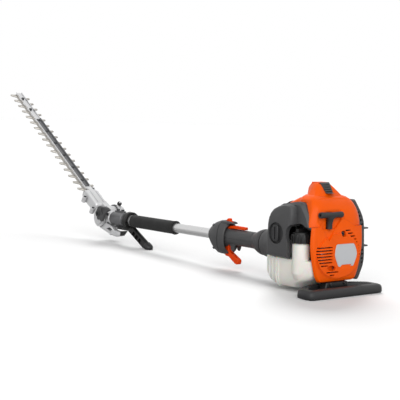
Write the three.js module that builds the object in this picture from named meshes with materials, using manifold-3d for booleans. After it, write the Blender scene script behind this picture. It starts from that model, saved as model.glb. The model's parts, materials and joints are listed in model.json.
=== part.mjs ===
// Petrol pole hedge trimmer with an articulated double-sided cutter.
// Millimetres, +Z up, +X from the engine towards the cutter, +Y to the left.
// The origin is the middle of the foot's underside, on the ground.

import * as THREE from 'three';
import { mergeVertices } from 'three/addons/utils/BufferGeometryUtils.js';
import Module from 'manifold-3d';

const wasm = await Module();
wasm.setup();

// ---------------------------------------------------------------- driving dimensions

const clearance = 0.3;          // between pieces that are bolted or slide together
const runningGap = 1.2;         // around pieces that turn

// How many sides round shapes have
const wideSides = 24;
const roundSides = 16;
const smallSides = 10;

// The shaft line: every station below is measured along it from the crankshaft's middle.
const tubeRadius = 12;
const tubeWall = 1.5;
const footDrop = 84;            // shaft line to the foot's underside
const footX = -42;              // station of the foot's middle
const legTipX = 652;            // station where the adjusting handle touches the ground
const legTipDrop = 69;          // shaft line to that point
const noseDown = Math.atan2(footDrop - legTipDrop, legTipX - footX);

// Engine housing
const housingHalfWidth = 74;
const housingBottom = -58;
const housingTop = 121;
const housingWall = 3;
const coverFront = -41;         // where the starter cover meets the fan housing
const coverRear = -49;          // rear face of the starter cover
const coverEdge = 7;            // rounding of its rear edge
const seamSide = 56;            // height of the seam between the two orange covers
const seamMiddle = 76;
const voluteHeight = 48;        // half height of the raised, oval volute
const voluteWidth = 64;
const voluteZ = -4;
const fanRadius = 42;

// Starter handle
const ropeY = 27;               // the rope leaves its pulley on the left
const handleBarZ = 80.6;
const handleBarLength = 62;
const ropeX = -44.2;            // the rope's line, between cover and flywheel
const handleX = -47.5;          // middle of the handle's stem
const handleBarX = -52.4;         // the bar lies in a shallow scoop of the covers
const scoopFront = -45.2;
const handleTravel = 13;
const stemHalf = 5.8;
const pocketFront = handleX + stemHalf + 0.6;
const seatZ = 52;

// Filter cover, tank and filler
const filterOuter = housingHalfWidth + 16;
const filterKnobX = 45;
const filterKnobZ = 38;
const filterKnobRadius = 20.5;
const tankOuter = housingHalfWidth + 5;
const neckX = -9;
const neckY = 67.5;
const neckRadius = 18;
const neckTop = 26;
const capRadius = 20.8;

// Clutch cone and rear handle
const dampX = 170;              // rubber ring between engine and shaft
const coneFront = 212;
const gripRadius = 18;
const gripFront = 318;
const guardRim = 304;
const guardSplit = 326;
const guardFront = 374;

// Front grip and adjusting handle
const foamRadius = 17;
const foamRear = 528;
const foamFront = 738;
const ringX = 741;
const ringRadius = 23.5;
const ringWidth = 14;
const legWidth = 21;
const legSlope = THREE.MathUtils.degToRad(27.5);
const legLength = 104;
const legEnd = legLength - 16;  // where its rubber cap begins
const legRootDrop = 18;

// Gear head
const collarRear = 765;
const collarFront = 823;
const collarRadius = 19;
const pivotX = 870;             // the cutter tilts about this cross axis
const nearDrumRadius = 27;
const farDrumRadius = 30;
const drumHalf = 24;
const indexRadius = 34;
const indexStep = THREE.MathUtils.degToRad(15);
const indexCount = 11;
const plungerAngle = THREE.MathUtils.degToRad(125);
const cutterRise = THREE.MathUtils.degToRad(32);   // cutter against the shaft line

// Cutter, measured along the blade from the pivot
const bladeLevel = 5.2;         // top face of the upper knife, above the pivot
const knifeThick = 2;
const toothCount = 17;
const toothPitch = 32.8;
const firstTooth = 130;
const toothPhase = 0.43;        // right-hand teeth against left-hand, in pitches
const toothReach = 30;
const toothRoot = 12.5;         // half width of the knives' backs
const toothRootHalf = 6.6;
const toothTipHalf = 3.4;
const strokeHalf = 8;
const barStart = 120;
const barEnd = firstTooth + (toothCount - 1) * toothPitch + 14;
const barHalf = 10;
const barThick = 2.2;
const barFlange = 5;
const barWall = 1.8;
const boltCount = 8;
const boltRadius = 3;
const firstBolt = 168;
const lastBoltInset = 38.8;     // from the last bolt to the bar's tip
const boltPitch = (barEnd - lastBoltInset - firstBolt) / (boltCount - 1);
const caseStart = 33;
const caseEnd = 134;
const caseTop = 19.5;
const caseLeft = 20;
const caseRight = -18;

// ---------------------------------------------------------------- materials

function material(name, color, roughness, metalness = 0) {
  return new THREE.MeshStandardMaterial({ name, color, roughness, metalness });
}

const orangeShell = material('orange_shell', 0xff6a13, 0.38);
const redOrange = material('control_orange', 0xf0480f, 0.45);
const darkShell = material('dark_shell', 0x4b4b4b, 0.55);
const blackPlastic = material('black_plastic', 0x1e1e1e, 0.6);
const foam = material('grip_foam', 0x404040, 0.95);
const rubber = material('rubber', 0x161616, 0.9);
const bareTube = material('aluminium_tube', 0xc8c8c8, 0.3, 1);
const castAlloy = material('cast_alloy', 0xd0d0d0, 0.45, 1);
const darkMetal = material('dark_collar', 0x5d5d5f, 0.4, 1);
const bladeSteel = material('blade_steel', 0xb8b2aa, 0.35, 1);
const brightSteel = material('bright_steel', 0xd6d6d8, 0.25, 1);
const boltSteel = material('bolt_steel', 0x7f8082, 0.35, 1);
const tankPlastic = material('tank_plastic', 0xdedad3, 0.5);
const labelGrey = material('label_grey', 0xc9cacc, 0.5);

// ---------------------------------------------------------------- solid modelling

/** A closed three.js geometry as a manifold solid with its faces outwards. */
function solid(geometry) {
  const bare = new THREE.BufferGeometry();
  bare.setAttribute('position', geometry.getAttribute('position').clone());
  if (geometry.index) bare.setIndex(geometry.index.clone());
  const merged = mergeVertices(bare, 1e-4);
  const at = merged.getAttribute('position').array;
  const corner = merged.index.array;
  const faces = [];
  let volume = 0;
  for (let i = 0; i < corner.length; i += 3) {
    const [a, b, c] = [corner[i], corner[i + 1], corner[i + 2]];
    if (a === b || b === c || c === a) continue;
    faces.push(a, b, c);
    const [p, q, r] = [a, b, c].map((k) => new THREE.Vector3().fromArray(at, 3 * k));
    volume += p.dot(q.cross(r));
  }
  if (volume < 0) faces.reverse();
  return new wasm.Manifold(new wasm.Mesh({
    numProp: 3,
    vertProperties: new Float32Array(at),
    triVerts: new Uint32Array(faces),
  }));
}

function join(first, ...others) {
  return others.reduce((whole, piece) => whole.add(piece), first);
}

function cut(first, ...others) {
  return others.reduce((whole, piece) => whole.subtract(piece), first);
}

function meshOf(name, body, look) {
  const data = body.getMesh();
  const geometry = new THREE.BufferGeometry();
  geometry.setAttribute('position', new THREE.BufferAttribute(data.vertProperties.slice(), 3));
  geometry.setIndex(new THREE.BufferAttribute(data.triVerts.slice(), 1));
  geometry.computeVertexNormals();
  const mesh = new THREE.Mesh(geometry, look);
  mesh.name = name;
  return mesh;
}

function moved(geometry, x, y, z, turn = [0, 0, 0]) {
  const matrix = new THREE.Matrix4().makeRotationFromEuler(new THREE.Euler(...turn));
  matrix.setPosition(x, y, z);
  return geometry.applyMatrix4(matrix);
}

function box(x0, x1, y0, y1, z0, z1) {
  const geometry = new THREE.BoxGeometry(x1 - x0, y1 - y0, z1 - z0);
  return solid(moved(geometry, (x0 + x1) / 2, (y0 + y1) / 2, (z0 + z1) / 2));
}

/** A turned solid about the shaft line, from [station, radius] pairs. */
function turned(profile, segments = roundSides) {
  const points = profile.map(([x, r]) => new THREE.Vector2(r, x));
  return new THREE.LatheGeometry(points, segments).rotateZ(-Math.PI / 2);
}

function rod(x0, x1, radius, segments = roundSides) {
  return turned([[x0, 0], [x0, radius], [x1, radius], [x1, 0]], segments);
}

function sleeve(x0, x1, outer, inner, segments = roundSides) {
  return turned([[x0, inner], [x0, outer], [x1, outer], [x1, inner], [x0, inner]], segments);
}

/** A disc or pin about a cross axis (Y) at x, z. */
function crossPin(x, z, y0, y1, radius, segments = roundSides) {
  const geometry = new THREE.CylinderGeometry(radius, radius, y1 - y0, segments);
  return solid(moved(geometry, x, (y0 + y1) / 2, z));
}

/** A pin standing along Z at x, y. */
function uprightPin(x, y, z0, z1, radius, segments = smallSides) {
  const geometry = new THREE.CylinderGeometry(radius, radius, z1 - z0, segments);
  return solid(moved(geometry.rotateX(Math.PI / 2), x, y, (z0 + z1) / 2));
}

/** A closed outline's corners, counter-clockwise, each edge moved inwards by `inset`. */
function insetCorners(corners, inset) {
  const at = corners.map(([a, b]) => new THREE.Vector2(a, b));
  const way = THREE.ShapeUtils.isClockWise(at) ? -1 : 1;
  const count = at.length;
  return corners.map(([, , radius = 0], i) => {
    const here = at[i];
    const before = here.clone().sub(at[(i + count - 1) % count]).normalize();
    const after = at[(i + 1) % count].clone().sub(here).normalize();
    const inwards = new THREE.Vector2(-before.y - after.y, before.x + after.x)
      .multiplyScalar((way * inset) / (1 + before.dot(after)));
    return [here.x + inwards.x, here.y + inwards.y, radius > 0 ? Math.max(radius - inset, 0.25) : 0];
  });
}

/** The outline's points: a corner [a, b, radius] becomes an arc of `steps` chords. */
function roundedPoints(corners, steps) {
  const count = corners.length;
  return corners.flatMap(([a, b, radius], i) => {
    if (radius === 0) return [[a, b]];
    const here = new THREE.Vector2(a, b);
    const before = new THREE.Vector2(...corners[(i + count - 1) % count]).sub(here);
    const after = new THREE.Vector2(...corners[(i + 1) % count]).sub(here);
    const setback = Math.min(radius, 0.48 * before.length(), 0.48 * after.length());
    const start = here.clone().add(before.setLength(setback));
    const end = here.clone().add(after.setLength(setback));
    return new THREE.QuadraticBezierCurve(start, here, end).getPoints(steps)
      .map((point) => [point.x, point.y]);
  });
}

/** A plate from low to high with the outline `corners`, its edges rounded by `edge`. */
function roundedPlate(corners, low, high, edge, edgeSteps, arcSteps, place) {
  const levels = [];
  for (let k = 0; k <= (edge > 0 ? edgeSteps : 0); k += 1) {
    const angle = edge > 0 ? (Math.PI / 2) * (k / edgeSteps) : Math.PI / 2;
    levels.push([edge * (1 - Math.sin(angle)), edge > 0 ? edge * (1 - Math.cos(angle)) : 0]);
  }
  const rings = levels.map(([inset, rise]) => [inset, low + rise])
    .concat(levels.reverse().map(([inset, rise]) => [inset, high - rise]))
    .map(([inset, height]) => roundedPoints(insetCorners(corners, inset), arcSteps)
      .map(([a, b]) => place(a, b, height)));
  return skin(rings, roundedPoints(insetCorners(corners, edge), arcSteps));
}

/** A plate whose outline is drawn in Y, Z and which runs from x0 to x1. */
function plateX(corners, x0, x1, edge = 0, edgeSteps = 1, arcSteps = 2) {
  return roundedPlate(corners, x0, x1, edge, edgeSteps, arcSteps, (y, z, x) => [x, y, z]);
}

/** A plate whose outline is drawn in X, Z and which runs from y0 to y1. */
function plateY(corners, y0, y1, edge = 0, edgeSteps = 1, arcSteps = 2) {
  return roundedPlate(corners, y0, y1, edge, edgeSteps, arcSteps, (x, z, y) => [x, y, z]);
}

/** A plate whose outline is drawn in X, Y and which runs from z0 to z1. */
function plateZ(corners, z0, z1, edge = 0, edgeSteps = 1, arcSteps = 2) {
  return roundedPlate(corners, z0, z1, edge, edgeSteps, arcSteps, (x, y, z) => [x, y, z]);
}

/** A closed skin through rings of points; both ends are capped like the flat outline. */
function skin(rings, flat) {
  const count = rings[0].length;
  const faces = [];
  for (let r = 0; r + 1 < rings.length; r += 1) {
    for (let i = 0; i < count; i += 1) {
      const a = r * count + i;
      const b = r * count + ((i + 1) % count);
      faces.push(a, b, b + count, a, b + count, a + count);
    }
  }
  const last = (rings.length - 1) * count;
  const cap = THREE.ShapeUtils.triangulateShape(flat.map(([a, b]) => new THREE.Vector2(a, b)), []);
  const turn = THREE.ShapeUtils.isClockWise(flat.map(([a, b]) => new THREE.Vector2(a, b)));
  for (const [a, b, c] of cap) {
    if (turn) faces.push(a, b, c, last + a, last + c, last + b);
    else faces.push(a, c, b, last + a, last + b, last + c);
  }
  const geometry = new THREE.BufferGeometry();
  geometry.setAttribute('position', new THREE.Float32BufferAttribute(rings.flat(2), 3));
  geometry.setIndex(faces);
  return solid(geometry);
}

/** A closed skin through rings of points, each ring with the same count. */
function loft(rings) {
  const count = rings[0].length;
  const points = rings.flat();
  const faces = [];
  for (let r = 0; r + 1 < rings.length; r += 1) {
    for (let i = 0; i < count; i += 1) {
      const a = r * count + i;
      const b = r * count + ((i + 1) % count);
      faces.push(a, b, b + count, a, b + count, a + count);
    }
  }
  for (const [r, flip] of [[0, true], [rings.length - 1, false]]) {
    const middle = rings[r].reduce((sum, p) => sum.map((v, k) => v + p[k] / count), [0, 0, 0]);
    const tip = points.push(middle) - 1;
    for (let i = 0; i < count; i += 1) {
      const a = r * count + i;
      const b = r * count + ((i + 1) % count);
      faces.push(...(flip ? [tip, b, a] : [tip, a, b]));
    }
  }
  const geometry = new THREE.BufferGeometry();
  geometry.setAttribute('position', new THREE.Float32BufferAttribute(points.flat(), 3));
  geometry.setIndex(faces);
  return solid(geometry);
}

/** A ring of points on a superellipse across the shaft, from z0 to z1. */
function ovalX(x, y, z0, z1, halfWidth, power = 2, count = roundSides) {
  const middle = (z0 + z1) / 2;
  const half = (z1 - z0) / 2;
  return Array.from({ length: count }, (_, i) => {
    const angle = (2 * Math.PI * i) / count;
    const [c, s] = [Math.cos(angle), Math.sin(angle)];
    return [x, y + halfWidth * Math.sign(c) * Math.abs(c) ** (2 / power),
      middle + half * Math.sign(s) * Math.abs(s) ** (2 / power)];
  });
}

/** A ring of points on a superellipse at one height. */
function ovalZ(z, x0, x1, y0, y1, power = 2, count = roundSides) {
  return Array.from({ length: count }, (_, i) => {
    const angle = (2 * Math.PI * i) / count;
    const [c, s] = [Math.cos(angle), Math.sin(angle)];
    return [(x0 + x1) / 2 + ((x1 - x0) / 2) * Math.sign(c) * Math.abs(c) ** (2 / power),
      (y0 + y1) / 2 + ((y1 - y0) / 2) * Math.sign(s) * Math.abs(s) ** (2 / power), z];
  });
}

// ---------------------------------------------------------------- groups and ground

const trimmer = new THREE.Group();
const machine = new THREE.Group();       // everything on the shaft line
machine.rotation.y = noseDown;
machine.position.set(
  footDrop * Math.sin(noseDown) - footX * Math.cos(noseDown),
  0,
  footDrop * Math.cos(noseDown) + footX * Math.sin(noseDown));
const cutter = new THREE.Group();        // everything that tilts with the cutter
cutter.position.set(pivotX, 0, 0);
cutter.rotation.y = -cutterRise;
trimmer.add(machine);
machine.add(cutter);
machine.updateMatrixWorld(true);

function add(group, name, body, look) {
  group.add(meshOf(name, body, look));
}

/** Everything under the ground, seen from the shaft line's frame. */
function underGround() {
  const depth = 60;
  const geometry = new THREE.BoxGeometry(2400, 600, depth).translate(300, 0, -depth / 2);
  return solid(geometry.applyMatrix4(machine.matrixWorld.clone().invert()));
}

// ---------------------------------------------------------------- engine housing

/** The housing's outline from behind, drawn in Y, Z and pulled in by `inset`. */
function housingOutline(inset = 0) {
  const half = housingHalfWidth;
  const side = [[0.68 * half, housingBottom, 8], [0.79 * half, housingBottom + 11, 14],
    [0.88 * half, -26, 20], [half, 14, 24], [0.95 * half, 62, 20], [0.77 * half, housingTop - 8, 18]];
  const mirrored = side.map(([y, z, r]) => [-y, z, r]).reverse();
  return insetCorners([...side, ...mirrored], inset);
}

/** Where the starter cover ends at the top: low at the sides, high behind the handle. */
function seamOutline(gap) {
  const far = housingHalfWidth + 20;
  return [[-far, housingBottom - 20], [far, housingBottom - 20],
    [far, seamSide + gap], [56, seamSide + gap], [38, seamMiddle - 4 + gap],
    [28, seamMiddle + gap], [-5, seamMiddle + gap], [-26, 67 + gap],
    [-46, seamSide + gap], [-far, seamSide + gap]];
}

/** The slots through the starter cover, on both sides of the volute. */
function coverSlots() {
  const [rear, front] = [coverRear - 8, coverFront + 5];
  const half = 1.35;
  const slot = (y0, y1, z) => box(rear, front, y0, y1, z - half, z + half);
  const slots = [slot(1, 35, -37), slot(12, 25, -43)];
  for (let i = 0; i < 7; i += 1) {
    const z = 14.5 - 6.2 * i;
    const reach = voluteWidth * Math.sqrt(1 - ((z - 3) / 44) ** 2);
    slots.push(slot(i < 6 ? 19 : 31, reach - 1, z));
  }
  for (let i = 0; i < 10; i += 1) {
    const z = 47.5 - 6.4 * i;
    const reach = (voluteWidth - 3) * Math.sqrt(1 - ((z + 4) / 62) ** 2);
    const length = i < 3 ? 15 : Math.max(3.4, 9 - 2.6 * (i - 3));
    slots.push(slot(-reach, -reach + length, z));
  }
  return slots;
}

/** The volute's oval form between two stations, pulled in by `inset`. */
function voluteForm(x0, x1, inset, segments) {
  return solid(rod(x0, x1, 1, segments)
    .scale(1, voluteWidth - inset, voluteHeight - inset).translate(0, 0, voluteZ));
}

/** The pocket behind the starter handle, open to the rear. */
function handlePocket(z0, z1, grow = 0) {
  const half = stemHalf + 2 + grow;
  const slot = box(coverRear - 12, pocketFront + grow, ropeY - half, ropeY + half, z0, z1);
  const barHalfRoom = handleBarLength / 2 + 3 + grow;
  const low = handleBarZ - 10;
  const scoop = plateX([[ropeY - 17 - grow, seatZ], [ropeY + 19 + grow, seatZ],
    [ropeY + barHalfRoom, low, 6], [ropeY + barHalfRoom, 140], [ropeY - barHalfRoom, 140],
    [ropeY - barHalfRoom, low, 6]], coverRear - 20, scoopFront + grow);
  return join(slot, scoop.intersect(box(-100, 0, -100, 100, z0, 140)));
}

function starterCover() {
  const shell = plateX(housingOutline(), coverRear, coverFront + coverEdge, coverEdge, 2, 3);
  const volute = join(voluteForm(coverRear - 3, coverRear + 3, 2.5, wideSides),
    voluteForm(coverRear - 1.2, coverFront, 0, wideSides));
  const cavity = plateX(housingOutline(housingWall), coverRear + housingWall, 10);
  const behindFront = box(coverFront, 40, -100, 100, -120, 160);
  const pocketFloor = 5;
  const pocketBox = handlePocket(seatZ - pocketFloor, seamMiddle + 4, 2.5)
    .subtract(box(-100, coverRear + housingWall, -100, 100, -100, 100));
  const funnel = plateX([[ropeY - 17, seatZ + 1], [ropeY + 19, seatZ + 1], [ropeY + 2, 27]],
    coverRear - 12, coverRear + 2);
  const ropeHole = uprightPin(ropeX, ropeY, seatZ - 12, seatZ + 1, ropeRadius + clearance);
  const screwWell = screwPost(coverRear - 12, coverRear + 5, 7);
  const wellPost = screwPost(coverRear + 2, coverFront, 9.5);
  const lowHole = solid(rod(coverRear - 12, coverFront + 5, 5.6)
    .scale(1, 2.2, 1).rotateX(0.1).translate(0, 21, -28.5));
  const labelSeat = plateX(labelOutline(-clearance), coverRear - 12, coverRear - 1.5);
  const plain = join(cut(join(shell, volute), cavity, behindFront), wellPost);
  const pocketed = cut(join(plain, pocketBox), handlePocket(seatZ, 100));
  return cut(pocketed, funnel, ropeHole, screwWell, lowHole, labelSeat, ...coverSlots())
    .intersect(plateX(seamOutline(0), coverRear - 20, pocketFront + 2.5));
}

/** A round form along the shaft at the cover's upper screw. */
function screwPost(x0, x1, radius) {
  return solid(rod(x0, x1, radius, smallSides).translate(0, -13, 40.5));
}

/** The bare plate let into the volute, right of the middle. */
function labelOutline(inset) {
  const g = inset;
  return [[8 - g, 20 - g, 3], [-43 + g, 20 - g, 4], [-54 + g, -2, 10], [-42 + g, -27 + g, 3],
    [-37, -27 + g, 1.5], [-35, -23 + g, 1.5], [-8, -23 + g, 1.5], [-5, -27 + g, 1.5],
    [1 - g, -27 + g, 3], [14 - g, -2, 10]];
}

/** One ring of the top cover: a flat-bottomed arch across the shaft. */
function archRing(x, half, low, high, count = 16) {
  const ring = [];
  for (let i = 0; i <= count; i += 1) {
    const angle = (Math.PI * i) / count;
    const [c, s] = [Math.cos(angle), Math.sin(angle)];
    const y = half * Math.sign(c) * Math.abs(c) ** 0.34;
    ring.push([x, y, low + (high - low) * Math.abs(s) ** 0.34]);
  }
  return ring;
}

/** The top cover's form: a bonnet behind, whose rear face leans forward as it rises. */
function topCoverForm(inset) {
  const slices = [[30, 0, 0], [64, 0, 2], [80, 0.8, 6], [93, 4, 10.5], [103, 9.5, 14.5],
    [111, 17, 19], [116, 24, 25], [119.5, 33, 35]];
  const bonnet = loft(slices.map(([z, lean, narrow]) => ovalZ(z - inset, coverRear + lean + inset,
    bonnetFront - inset, narrow + inset - housingHalfWidth, housingHalfWidth - narrow - inset,
    5, wideSides)));
  const low = seamSide - 30;
  const body = [[coverFront + 12, 6], [-10, 3], [26, 6], [62, 20]];
  return join(bonnet, loft(body.map(([x, drop]) => archRing(x, bodyHalf - drop * 0.3 - inset, low,
    housingTop - drop - inset))));
}

const bonnetFront = 18;
const bodyHalf = 58;
const humpBase = 119;
const bowHalf = 11;              // the hump's blunt front
const humpTop = 144;

function topCover() {
  const hollow = topCoverForm(housingWall).intersect(box(coverFront + 3.5, 58, -90, 90, 0, 140));
  const hump = loft(humpRings());
  const belowSeam = plateX(seamOutline(clearance), coverRear - 20, pocketFront + 2.5 + clearance);
  const skirt = box(coverFront + 2.2, 70, -100, 100, 0, seamSide);
  const guardRoom = box(guardRear - clearance, 100, -120, -bodyHalf - 2, 0, 160);
  return cut(join(topCoverForm(0), hump), hollow, humpInsert(clearance), belowSeam,
    handlePocket(40, seatZ + 22.5 + handleTravel), skirt, plugWell(), guardRoom,
    filterWing(clearance), filterSide());
}

/** The hump over the spark plug: wide behind, a blunt bow in front. */
function humpRings() {
  return [[104, -24, 6, 40, 42], [humpBase, -19, 6, 36, 38], [133, -11, 8, 33, 26],
    [humpTop - 3, -5, 9, 26, 18.5], [humpTop, -1, 9, 21, 14.5]].map(([z, rear, side, front, half]) =>
    [[rear, -half + 6, z], [rear + 5, -half, z], [side, -half, z], [front, -bowHalf, z],
      [front, bowHalf, z], [side, half, z], [rear + 5, half, z], [rear, half - 6, z]]);
}

/** Everything left of the engine that the filter cover fills. */
function filterSide() {
  return box(bonnetFront - 30, 100, bodyHalf, 120, 0, 160)
    .subtract(box(-100, bonnetFront - 18, 0, 200, 107, 160));
}

/** Room for the plug boot between cylinder head and hump. */
function plugWell() {
  return box(14, 34.6, -11, 11, 90, 117.6);
}

/** The dark ribbed clip that runs over the hump and down its rear face. */
function humpInsert(grow) {
  const side = [[-26, 123], [-14, 123], [-1, humpTop - 3], [22 + grow, humpTop - 3],
    [22 + grow, humpTop + 1.2 + grow], [-2.5 - grow, humpTop + 1.2 + grow], [-5.5 - grow, humpTop - 2],
    [-18.5 - grow, 124]];
  const strip = plateY(side, -14 - grow, 14 + grow);
  const taper = loft([[118, 8.8], [humpTop - 3, 12.8], [humpTop + 6, 13.2]].map(([z, half]) =>
    [[-40, -half - grow, z], [40, -half - grow, z], [40, half + grow, z], [-40, half + grow, z]]));
  return strip.intersect(taper);
}

function ribbedInsert() {
  const ribs = [];
  for (let i = 0; i < 4; i += 1) {
    const [x, z] = [-17.6 + 3.1 * i, 126.5 + 4.6 * i];
    ribs.push(solid(moved(new THREE.BoxGeometry(2.6, 40, 1.8), x, 0, z, [0, 0.6, 0])));
  }
  return cut(humpInsert(0), ...ribs);
}

/** The wall between the engine and the starter: the dark edge round the covers. */
function fanHousing() {
  const half = fanRadius + 5.5;
  const body = plateX([[half, -30, 10], [38, fanBottom, 8], [-42, fanBottom, 8],
    [-half - 10, -30, 10], [-half - 10, 30, 10], [-40, fanTop, 8], [36, fanTop, 6],
    [half - 2, 26, 6], [half, 14, 6]], coverFront + clearance, caseRear - clearance);
  const partition = join(box(-12, 57.5, 34.6, 37.4, 47.5, 88), box(54.5, 57.5, 36, 48.5, 47.5, 74),
    box(-12, caseRear - clearance, 34.6, 37.4, 34, 60));
  const room = solid(rod(-80, caseRear - 4, fanRadius + 2.5, wideSides));
  return join(cut(body, room, solid(rod(-80, 40, 14))), partition);
}

const fanBottom = -50;
const fanTop = 46;
const fanRear = coverFront + 3;

const fanFront = -14;

/** The flywheel: a dished disc with fan blades on its rear face. */
function flywheel() {
  const disc = solid(turned([[fanRear + 9, 0], [fanRear + 9, fanRadius], [fanFront, fanRadius],
    [fanFront, 0]], wideSides));
  const hub = solid(rod(fanRear, fanFront, 13));
  const blades = [];
  for (let i = 0; i < 12; i += 1) {
    const blade = new THREE.BoxGeometry(10, 26, 2.4).translate(fanRear + 5, 27, 0);
    blades.push(solid(blade.rotateX((2 * Math.PI * i) / 12)));
  }
  return join(disc, hub, ...blades);
}

/** Crankshaft and drive shaft: one line from the flywheel to the gear head. */
function driveShaft() {
  return solid(turned([[fanFront + clearance, 0], [fanFront + clearance, 8], [caseRear + 2, 8],
    [caseRear + 2, shaftRadius], [dampX - 30, shaftRadius], [dampX - 30, 4], [collarFront + 6, 4],
    [collarFront + 6, 0]], smallSides));
}

const caseRear = -1;
const caseFront = 104;
const shaftRadius = 10;
const crankRoom = shaftRadius + 2 * clearance;

function crankcase() {
  const body = plateX([[44, -46, 10], [46, 30, 10], [30, 47, 6], [-30, 47, 6],
    [-46, 30, 10], [-44, -46, 10]], caseRear, caseFront, 4);
  const bore = solid(rod(-20, 130, crankRoom));
  const intake = box(10, 60, 30, 60, 20, 80);
  return cut(body, bore, intake);
}

const headTop = 92;

/** The finned cylinder, standing on the crankcase under the top cover. */
function cylinder() {
  const core = uprightPin(25, 0, 47 + clearance, headTop, 23);
  const fins = [];
  for (let z = 54; z < headTop - 4; z += 6.5) {
    fins.push(box(-8, 56, -36, 34, z, z + 2.2));
  }
  return join(core, ...fins);
}

function sparkPlug() {
  return solid(new THREE.LatheGeometry([[0, headTop + clearance], [8.5, headTop + clearance],
    [8.5, headTop + 5], [6, headTop + 7], [6, headTop + 12], [9, headTop + 13], [9, headTop + 22],
    [6, headTop + 25], [0, headTop + 25]].map(([r, z]) => new THREE.Vector2(r, z)), smallSides)
    .rotateX(Math.PI / 2).translate(25, 0, 0));
}

const guardOuter = -housingHalfWidth - 33;
const guardInner = -housingHalfWidth - 6;
const guardRear = -24;
const guardFrontEnd = 86;

/** The muffler guard's outline from behind: an arched wall down the right side. */
function guardWall(inset) {
  return [[guardInner + 18, 108 - inset, 4], [guardInner + 8, 110 - inset, 6],
    [guardOuter + 4 + inset, 68, 22], [guardOuter + inset, -28, 26],
    [guardOuter + 18 + inset, -63 + inset, 4],
    [guardInner, -63 + inset, 3], [guardInner, 56, 8], [guardInner + 18, 92, 6]];
}

function mufflerGuard() {
  const body = plateX(guardWall(0), guardRear, guardFrontEnd, 3, 1, 3);
  const room = plateX(guardWall(3.2), guardRear + 3.2, guardFrontEnd - 3.2);
  const inner = box(guardRear + 6, guardFrontEnd - 6, guardInner - 12, -40, -52, 84);
  const fins = [46, 8].map((z) => plateZ([[guardRear, guardOuter + 6, 2],
    [guardRear + 3, guardOuter - 12, 4], [guardFrontEnd - 12, guardOuter - 12, 10],
    [guardFrontEnd - 4, guardOuter + 6, 2]], z - 1.4, z + 1.4));
  const holes = [];
  for (let i = 0; i < 4; i += 1) {
    const [upper, lower] = [82 - 9 * i, -9 * i];
    for (const [y, z] of [[guardOuter + 25 - 4.2 * i, upper], [guardOuter + 10, lower]]) {
      holes.push(solid(moved(new THREE.CylinderGeometry(3, 3, 20, 6), guardRear, y, z,
        [0, 0, Math.PI / 2])));
    }
  }
  for (let i = 0; i < 5; i += 1) {
    const x = guardRear + 18 + 16 * i;
    holes.push(box(x - 4, x + 4, guardOuter - 4, guardOuter + 9, 14, 40));
    holes.push(box(x - 4, x + 4, guardOuter - 4, guardOuter + 9, -22, 2));
  }
  return cut(join(cut(body, room, inner), ...fins), ...holes);
}

function muffler() {
  const outer = guardOuter + 8;
  const body = plateX([[-63, -26, 6], [-63, 58, 6], [outer + 2, 58, 10], [outer, -26, 10]],
    guardRear + 12, guardFrontEnd - 14, 5);
  const flange = box(12, 42, -66, -46, 14, 44);
  const pipe = solid(moved(new THREE.CylinderGeometry(7, 7, 7, smallSides), 50, outer + 0.5, -10));
  const pipeHole = solid(moved(new THREE.CylinderGeometry(5, 5, 12, smallSides), 50, outer - 5, -10));
  return cut(join(body, flange, pipe), pipeHole);
}

// ---------------------------------------------------------------- filter cover, tank and filler

/** The filter cover: a bulged box with a wing that arches over the filler cap. */
function filterCover() {
  const face = [[0, -12, 8], [0, 97, 9], [24, 100, 12], [58, 91, 14],
    [74, 70, 14], [77, 30, 30], [77, -12, 6]];
  const bulge = plateY(face, 48, filterOuter, 9, 2);
  const archRadius = capRadius + 4;
  const archBox = box(neckX - archRadius, neckX + archRadius - 6, 40, 100, -40, archSpring);
  const arch = crossPin(neckX, archSpring, 40, 100, archRadius - 1, wideSides);
  const knobRecess = crossPin(filterKnobX, filterKnobZ, filterOuter - 6, filterOuter + 5,
    filterKnobRadius + 2, wideSides);
  const hollow = plateY([[8, -20, 3], [8, 88, 6], [54, 83, 8], [67, 60, 8],
    [70, 20, 8], [70, -20, 3]], 40, filterOuter - 10);
  const engineSide = box(-60, 64, 40, bodyHalf + clearance, seamSide - 1, 140);
  const rimSide = plateX(housingOutline(-clearance), -80, coverFront + clearance);
  return cut(join(bulge, filterWing(0)), archBox, arch, knobRecess, hollow, engineSide, rimSide);
}

const archSpring = 38;

/** The part of the filter cover that reaches back over the filler cap. */
function filterWing(grow) {
  const side = [[-41 - grow, 50 - grow, 3], [-33 - grow, 76, 14], [-13 - grow, 104 + grow, 6],
    [4, 106 + grow, 12], [60, 97 + grow, 12], [60, 50 - grow, 4]];
  return plateY(side, 48 - grow, 73 + grow, 6);
}

function filterKnob() {
  const dish = crossPin(filterKnobX, filterKnobZ, filterOuter - 6 + clearance, filterOuter - 3,
    filterKnobRadius, wideSides);
  const bar = plateY([[-8.5, -17, 5], [-8.5, 17, 5], [8.5, 17, 5], [8.5, -17, 5]],
    filterOuter - 4, filterOuter + 3, 1.5, 1, 3).translate([filterKnobX, 0, filterKnobZ]);
  const groove = box(filterKnobX - 1.6, filterKnobX + 1.6, filterOuter - 1, filterOuter + 5,
    filterKnobZ - 13, filterKnobZ + 13);
  return cut(join(dish, bar), groove);
}

const tankTop = -14;
const tankFront = 97;
const tankRight = 12 - housingHalfWidth;

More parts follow.
